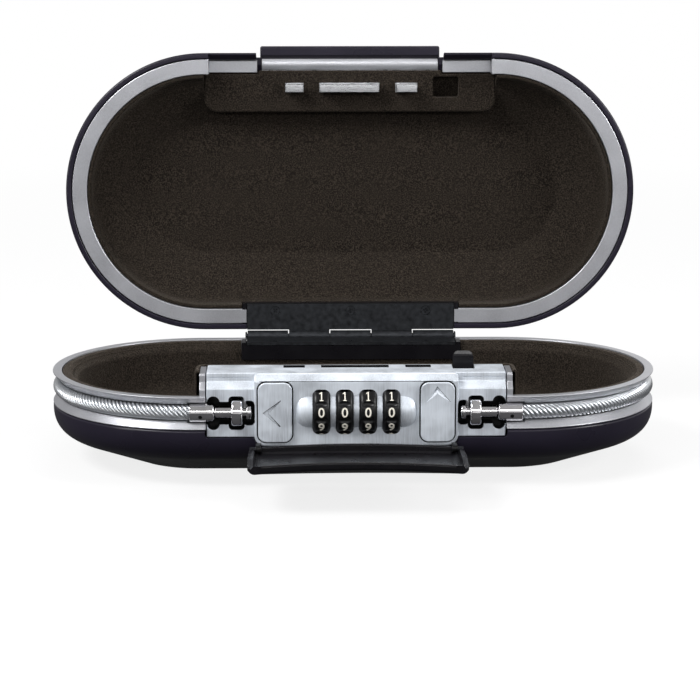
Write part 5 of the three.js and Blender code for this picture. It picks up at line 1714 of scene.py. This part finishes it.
def screw_tree():
    """A countersunk screw with a cross recess at each point, head upwards."""
    tree, given = shape_tree(
        "countersunk screws",
        [
            ("Head Radius", "NodeSocketFloat"), ("Head Depth", "NodeSocketFloat"),
            ("Shank Radius", "NodeSocketFloat"), ("Length", "NodeSocketFloat"),
            ("Recess", "NodeSocketFloat"), ("Material", "NodeSocketMaterial"),
        ],
    )
    head = node(tree, "GeometryNodeMeshCone", {
        "Vertices": 32, "Radius Top": given["Head Radius"], "Radius Bottom": given["Shank Radius"],
        "Depth": given["Head Depth"],
    })
    down = node(tree, "ShaderNodeMath", {0: given["Head Depth"], 1: -1.0}, operation="MULTIPLY")
    drop = node(tree, "ShaderNodeCombineXYZ", {"Z": down.outputs[0]})
    head_place = node(tree, "GeometryNodeTransform", {
        "Geometry": head.outputs[0], "Translation": drop.outputs[0],
    })
    shank = node(tree, "GeometryNodeMeshCylinder", {
        "Vertices": 24, "Radius": given["Shank Radius"], "Depth": given["Length"],
    })
    middle = node(tree, "ShaderNodeMath", {0: given["Length"], 1: -0.5}, operation="MULTIPLY")
    lower = node(tree, "ShaderNodeMath", {0: middle.outputs[0], 1: -0.15 * MM}, operation="ADD")
    sink = node(tree, "ShaderNodeCombineXYZ", {"Z": lower.outputs[0]})
    shank_place = node(tree, "GeometryNodeTransform", {
        "Geometry": shank.outputs[0], "Translation": sink.outputs[0],
    })
    whole = node(tree, "GeometryNodeMeshBoolean", operation="UNION", solver="EXACT")
    for part in (head_place, shank_place):
        tree.links.new(part.outputs[0], whole.inputs["Mesh 2"])
    wide = node(tree, "ShaderNodeMath", {0: given["Recess"], 1: 0.28}, operation="MULTIPLY")
    bars = []
    for x, y in ((given["Recess"], wide.outputs[0]), (wide.outputs[0], given["Recess"])):
        size = node(tree, "ShaderNodeCombineXYZ", {"X": x, "Y": y, "Z": 1.3 * MM})
        bars.append(node(tree, "GeometryNodeMeshCube", {"Size": size.outputs[0]}))
    carved = node(
        tree, "GeometryNodeMeshBoolean", {"Mesh 1": whole.outputs[0]}, operation="DIFFERENCE",
        solver="EXACT",
    )
    for bar in bars:
        tree.links.new(bar.outputs[0], carved.inputs["Mesh 2"])
    turn = node(tree, "FunctionNodeRandomValue", {2: 0.0, 3: math.pi, "Seed": 7}, data_type="FLOAT")
    spin = node(tree, "ShaderNodeCombineXYZ", {"Z": turn.outputs[1]})
    placed = node(tree, "GeometryNodeInstanceOnPoints", {
        "Points": given["Geometry"], "Instance": carved.outputs[0], "Rotation": spin.outputs[0],
    })
    real = node(tree, "GeometryNodeRealizeInstances", {"Geometry": placed.outputs[0]})
    dressed = node(tree, "GeometryNodeSetMaterial", {
        "Geometry": real.outputs[0], "Material": given["Material"],
    })
    node(tree, "NodeGroupOutput", {"Geometry": dressed.outputs[0]})
    return tree


def screws(name, tree, places, length):
    return grow(
        name, places, [], tree,
        {
            "Head Radius": 1.88 * MM, "Head Depth": 1.1 * MM, "Shank Radius": 1.0 * MM,
            "Length": length * MM, "Recess": 2.2 * MM, "Material": finish_of("plated_steel"),
        },
    )


def heads_down(piece, rise):
    """Turn screws over about a height, for the ones that go up into the lid."""
    piece.data.transform(
        Matrix.Translation((0, 0, 2 * at(rise) * MM)) @ Matrix.Scale(-1, 4, (0, 0, 1))
    )
    piece.data.flip_normals()
    return piece


class CARSAFE_OT_screws(bpy.types.Operator):
    """Put the screws in the hinge and the striker plate"""
    bl_idname = "car_safe.screws"
    bl_label = "Screws"

    def execute(self, context):
        tree = screw_tree()
        in_base = [(x, HINGE_SCREW_Y, at(CHANNEL_RISE)) for x in HINGE_SCREWS]
        in_lid = [(x, HINGE_SCREW_Y, at(RIM_RISE)) for x in HINGE_SCREWS]
        in_striker = [(x, STRIKER_SCREW_Y, at(STRIKER_RISE)) for x in STRIKER_SCREWS]
        base = screws("base_hinge_screws", tree, in_base, 4.4)
        lid = screws("lid_hinge_screws", tree, in_lid, 4.4)
        held = screws("striker_screws", tree, in_striker, 2.6)
        lid, held = open_lid(heads_down(lid, RIM_RISE)), open_lid(heads_down(held, STRIKER_RISE))
        base_nodes = [f"hinge_screw_base_{i}" for i in (1, 2, 3)]
        hand_over(smooth(base), "base", base_nodes, ["blackened_steel"])
        hand_over(
            smooth(lid), "lid", [f"hinge_screw_lid_{i}" for i in (1, 2, 3)],
            ["blackened_steel"],
        )
        hand_over(
            smooth(held), "lid", [f"striker_screw_{i}" for i in (1, 2, 3, 4)],
            ["plated_steel"],
        )
        return {"FINISHED"}


# Cover


def bow(x, y, rise):
    """How far the cover stands back at a place. Its ends stand out, most at the top edge, and the
    edge beside the hinge is cut back towards its ends."""
    away = (x / COVER_HALF) ** 2
    if rise < -12 and y > -62.6:
        return -1.6 * away
    high = min(1.0, max(0.0, (rise - COVER_CREASE) / (COVER_TOP - COVER_CREASE)))
    return 0.3 - away * (0.5 + 1.3 * high)


def bowed(name, sections, stations):
    """Join outlines of (y, rise) points, one for each place along X, and bow them."""
    points = []
    for x, outline in zip(stations, sections):
        over = max(0.0, abs(x) - (COVER_HALF - 3))
        fall = 3 - math.sqrt(max(0.0, 9 - over ** 2))
        for y, rise in outline:
            back = y if y > -60.3 else min(y + fall, -60.3)
            points.append((x, back + bow(x, y, rise), at(rise)))
    return new_piece(name, points, loops_to_faces(len(sections[0]), len(sections), False))


def cover_end(outer, way):
    """One end of the cover. Its inside curves up from the floor into a wall with a round top."""
    floor = [
        (COVER_EDGE, COVER_TOP), (COVER_EDGE, 21.15), (-60.35, 21.15), (-62.3, 14.3),
        (COVER_FLOOR, 9.1), (COVER_FLOOR, -13.4), (COVER_FLOOR, COVER_BOTTOM),
    ]
    start, length, wall = 35.4, 3.1, -60.05
    crest = [
        (COVER_EDGE, COVER_TOP), (COVER_EDGE, 21.4), (wall, 20.4), (wall, 14.3), (wall, 9.1),
        (wall, -13.0), (-62.2, COVER_BOTTOM),
    ]
    stations = [start + length * math.sin(math.pi / 2 * i / 12) for i in range(12)]
    stations += [COVER_END - math.cos(math.pi * i / 16) for i in range(17)]
    sections = []
    for x in stations:
        bend = min(1.0, (x - start) / length)
        share = 1 - math.sqrt(1 - bend ** 2)
        beyond = max(0.0, x - COVER_END)
        drop = 1 - math.sqrt(max(0.0, 1 - beyond ** 2))
        inner = [
            (a[0] + share * (b[0] - a[0]) - drop, a[1] + share * (b[1] - a[1]))
            for a, b in zip(floor, crest)
        ]
        sections.append(outer + inner)
    if way < 0:
        stations, sections = [-x for x in reversed(stations)], sections[::-1]
    return bowed("cover_end", sections, stations)


def cover():
    outer = [
        (-60.2, COVER_BOTTOM), (-63.5, COVER_BOTTOM), (-65.1, -14.5), (COVER_FACE, -12.5),
        (COVER_FACE, COVER_CREASE), (-61.4, COVER_TOP),
    ]
    inner = [
        (COVER_EDGE, COVER_TOP), (COVER_EDGE, 21.15), (-60.35, 21.15), (COVER_FLOOR, 9.1),
        (COVER_FLOOR, -12.6), (-63.0, -13.4), (-60.2, -13.4),
    ]
    radii = {0: 0.6, 3: 1.5, 4: 1.6, 5: 1.2, 6: 0.75, 7: 0.75, 8: 0.5, 9: 1.2, 10: 0.8, 12: 0.6}
    across = [38.0 * i / 18 for i in range(-18, 19)]
    tray = bowed("cover", [rounded(outer + inner, radii, 5)] * len(across), across)
    skin = rounded(
        outer[1:] + [(COVER_EDGE, COVER_TOP), (-60.0, COVER_BOTTOM)], {2: 1.5, 3: 1.6, 4: 1.2}, 5
    )[:-2]
    add(tray, *[cover_end(skin, way) for way in (1, -1)])
    lug_rooms = []
    for front, top in ((COVER_FLOOR, -10.8), (-67.8, -14.2)):
        lug_rooms += both_sides("lug_room", (35.6, 38.55), (front, PLATE_FRONT), rises(-16, top))
    cut(tray, *lug_rooms)
    face = rounded_box(
        centred(COVER_HALF), rises(-15.4, COVER_TOP + 0.1), {0: 3, 1: 3, 2: 6.5, 3: 6.5}, 10
    )
    keep(tray, prism("face", face, (-70, -57), "Y"))
    holes = [
        rod("hole", span, 1.1, "X", (COVER_HINGE_Y, at(COVER_HINGE_RISE)), 24)
        for span in either_side(37.5, 41.5)
    ]
    return smooth(cut(tray, *holes), 40)


class CARSAFE_OT_cover(bpy.types.Operator):
    """Build the cover of the dials"""
    bl_idname = "car_safe.cover"
    bl_label = "Cover"

    def execute(self, context):
        hand_over(fold_cover(cover()), "cover", ["cover"], ["textured_abs"])
        return {"FINISHED"}


class CARSAFE_OT_inner_works(bpy.types.Operator):
    """Give their finish to the frame's own parts that stay in view or inside the lock"""
    bl_idname = "car_safe.inner_works"
    bl_label = "Inner works"

    def execute(self, context):
        for name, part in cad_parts.items():
            if part.hide_render:
                continue
            finish = "inner_steel"
            if "screw" in name or name == "lock_back_plate":
                finish = "plated_steel"
            elif "cover_pin" in name:
                finish = "blackened_steel"
            part.material_slots[0].material = finish_of(finish)
        return {"FINISHED"}


# Studio

FLOOR_REACH = 6000
FLOOR_LEVEL = -0.05

# The camera's place in metres, its turn in degrees and its lens, fitted to the photo's outlines
CAMERA_PLACE = (-0.0184, -0.9224, 0.2296)
CAMERA_TURN = (78.54, 0, -1.06)
CAMERA_LENS = 120.8

# Place, target and size in metres, and power in watts
LAMPS = {
    "key": ((-0.75, -0.5, 0.95), (0, 0, 0.08), (0.55, 0.4), 13.0),
    "side": ((-0.95, -0.6, 0.25), (0, 0, 0.05), (0.12, 0.5), 2.0),
    "right": ((0.95, -0.4, 0.5), (0.05, 0, 0.07), (0.25, 0.5), 7.0),
    "strip": ((0.05, -1.15, 0.5), (0.05, 0, 0.05), (1.5, 0.09), 4.2),
    "back": ((0.2, 0.35, 1.1), (0, -0.05, 0.05), (0.8, 0.3), 4.5),
}


class CARSAFE_OT_stage(bpy.types.Operator):
    """Set the paper floor, the soft lamps, the backdrop and the camera"""
    bl_idname = "car_safe.stage"
    bl_label = "Studio"

    def execute(self, context):
        scene = context.scene
        scene.view_settings.view_transform = "Standard"
        corners = [(-1, -1), (1, -1), (1, 1), (-1, 1)]
        floor = new_piece(
            "floor", [(x * FLOOR_REACH, y * FLOOR_REACH, FLOOR_LEVEL) for x, y in corners],
            [(0, 1, 2, 3)],
        )
        floor.data.materials.append(finish_of("paper_floor"))
        for name, (place, target, size, power) in LAMPS.items():
            lamp(name, place, target, size, power)
        scene.world = studio_world()
        view = bpy.data.cameras.new("camera")
        view.sensor_width = 36
        view.lens = CAMERA_LENS
        camera = in_scene("camera", view)
        camera.location = CAMERA_PLACE
        camera.rotation_euler = [math.radians(degrees) for degrees in CAMERA_TURN]
        scene.camera = camera
        return {"FINISHED"}


def lamp(name, place, target, size, power):
    light = bpy.data.lights.new(name, "AREA")
    light.shape = "RECTANGLE"
    light.size, light.size_y = size
    light.energy = power
    made = in_scene(name, light)
    made.location = place
    made.rotation_euler = (Vector(target) - Vector(place)).to_track_quat("-Z", "Y").to_euler()


def studio_world():
    world = bpy.data.worlds.new("studio")
    world.use_nodes = True
    tree = world.node_tree
    tree.nodes.clear()
    way = node(tree, "ShaderNodeSeparateXYZ", {
        "Vector": node(tree, "ShaderNodeTexCoord").outputs["Generated"],
    })
    ceiling = node(tree, "ShaderNodeMapRange", {
        "Value": way.outputs["Z"], "From Min": 0.1, "From Max": 0.45, "To Min": 1.0, "To Max": 0.25,
    })
    sideways = node(tree, "ShaderNodeMapRange", {
        "Value": way.outputs["X"], "From Min": -0.18, "From Max": 0.18,
        "To Min": 0.2, "To Max": 1.25,
    })
    gloss = node(
        tree, "ShaderNodeMath", {0: ceiling.outputs[0], 1: sideways.outputs[0]},
        operation="MULTIPLY",
    )
    strength = node(tree, "ShaderNodeMapRange", {
        "Value": seen_plainly(tree, gloss.outputs[0]), "To Min": 0.25, "To Max": 1.0,
    })
    sky = node(tree, "ShaderNodeBackground", {
        "Color": (1, 1, 1, 1), "Strength": strength.outputs[0],
    })
    node(tree, "ShaderNodeOutputWorld", {"Surface": sky.outputs[0]})
    return world


# What a user can change


def tint(name, description, start):
    """A colour property, with its default as an sRGB hex value."""
    return bpy.props.FloatVectorProperty(
        name=name, description=description, subtype="COLOR", size=3, min=0, max=1,
        default=colour(start)[:3],
    )


class CarSafeColours(bpy.types.PropertyGroup):
    shell: tint("Shell", "Plastic of the two shells", "#1f1c27")
    silver: tint("Rim", "Silver paint of the rims", "#b9babf")
    foam: tint("Lining", "Flock of the linings", "#27221d")
    zinc: tint("Lock", "Die-cast lock body and buttons", "#cbd1d9")
    steel: tint("Steel", "Striker plate, screws and parts inside the lock", "#d4d5d8")
    nickel: tint("Nickel", "Ferrules and turned pins of the rope", "#dcdadc")
    rope: tint("Rope", "Wire of the rope", "#c9ccd0")
    cover: tint("Cover", "Plastic of the cover and the reset tab", "#0e0d10")
    numbers: tint("Numbers", "Paint of the dials' numbers", "#eee9dc")


class CarSafeSizes(bpy.types.PropertyGroup):
    strands: bpy.props.IntProperty(
        name="Strands", description="Strands round the rope's core", default=7, min=5, max=12,
    )
    lay: bpy.props.FloatProperty(
        name="Lay", description="Length in which a strand goes once round the rope",
        default=12.5 * MM, min=6 * MM, max=40 * MM, subtype="DISTANCE", unit="LENGTH",
    )
    strand_radius: bpy.props.FloatProperty(
        name="Strand radius", description="Half the thickness of one strand", default=0.68 * MM,
        min=0.3 * MM, max=1.2 * MM, subtype="DISTANCE", unit="LENGTH",
    )
    number_height: bpy.props.FloatProperty(
        name="Number height", description="Height of the numbers on the dials", default=3.7 * MM,
        min=2 * MM, max=4.5 * MM, subtype="DISTANCE", unit="LENGTH",
    )
    number_weight: bpy.props.FloatProperty(
        name="Number weight", description="How much the numbers' strokes are thickened",
        default=0.012, min=-0.03, max=0.03,
    )


STEPS = (
    CARSAFE_OT_shells, CARSAFE_OT_rims, CARSAFE_OT_linings, CARSAFE_OT_lock_body, CARSAFE_OT_dials,
    CARSAFE_OT_buttons, CARSAFE_OT_rope, CARSAFE_OT_rope_ends, CARSAFE_OT_hinge, CARSAFE_OT_screws,
    CARSAFE_OT_cover, CARSAFE_OT_inner_works, CARSAFE_OT_stage,
)


class CARSAFE_PT_pieces(bpy.types.Panel):
    bl_idname = "CARSAFE_PT_pieces"
    bl_label = "Car Safe"
    bl_space_type = "VIEW_3D"
    bl_region_type = "UI"
    bl_category = "Car Safe"

    def draw(self, context):
        for step in STEPS:
            self.layout.operator(step.bl_idname)


CLASSES = (CarSafeColours, CarSafeSizes, *STEPS, CARSAFE_PT_pieces)


def register():
    for made in CLASSES:
        bpy.utils.register_class(made)
    bpy.types.Scene.car_safe_colours = bpy.props.PointerProperty(type=CarSafeColours)
    bpy.types.Scene.car_safe_sizes = bpy.props.PointerProperty(type=CarSafeSizes)


def unregister():
    del bpy.types.Scene.car_safe_colours
    del bpy.types.Scene.car_safe_sizes
    for made in reversed(CLASSES):
        bpy.utils.unregister_class(made)


def main():
    register()
    for step in STEPS:
        group, name = step.bl_idname.split(".")
        getattr(getattr(bpy.ops, group), name)()


if __name__ == "__main__":
    main()
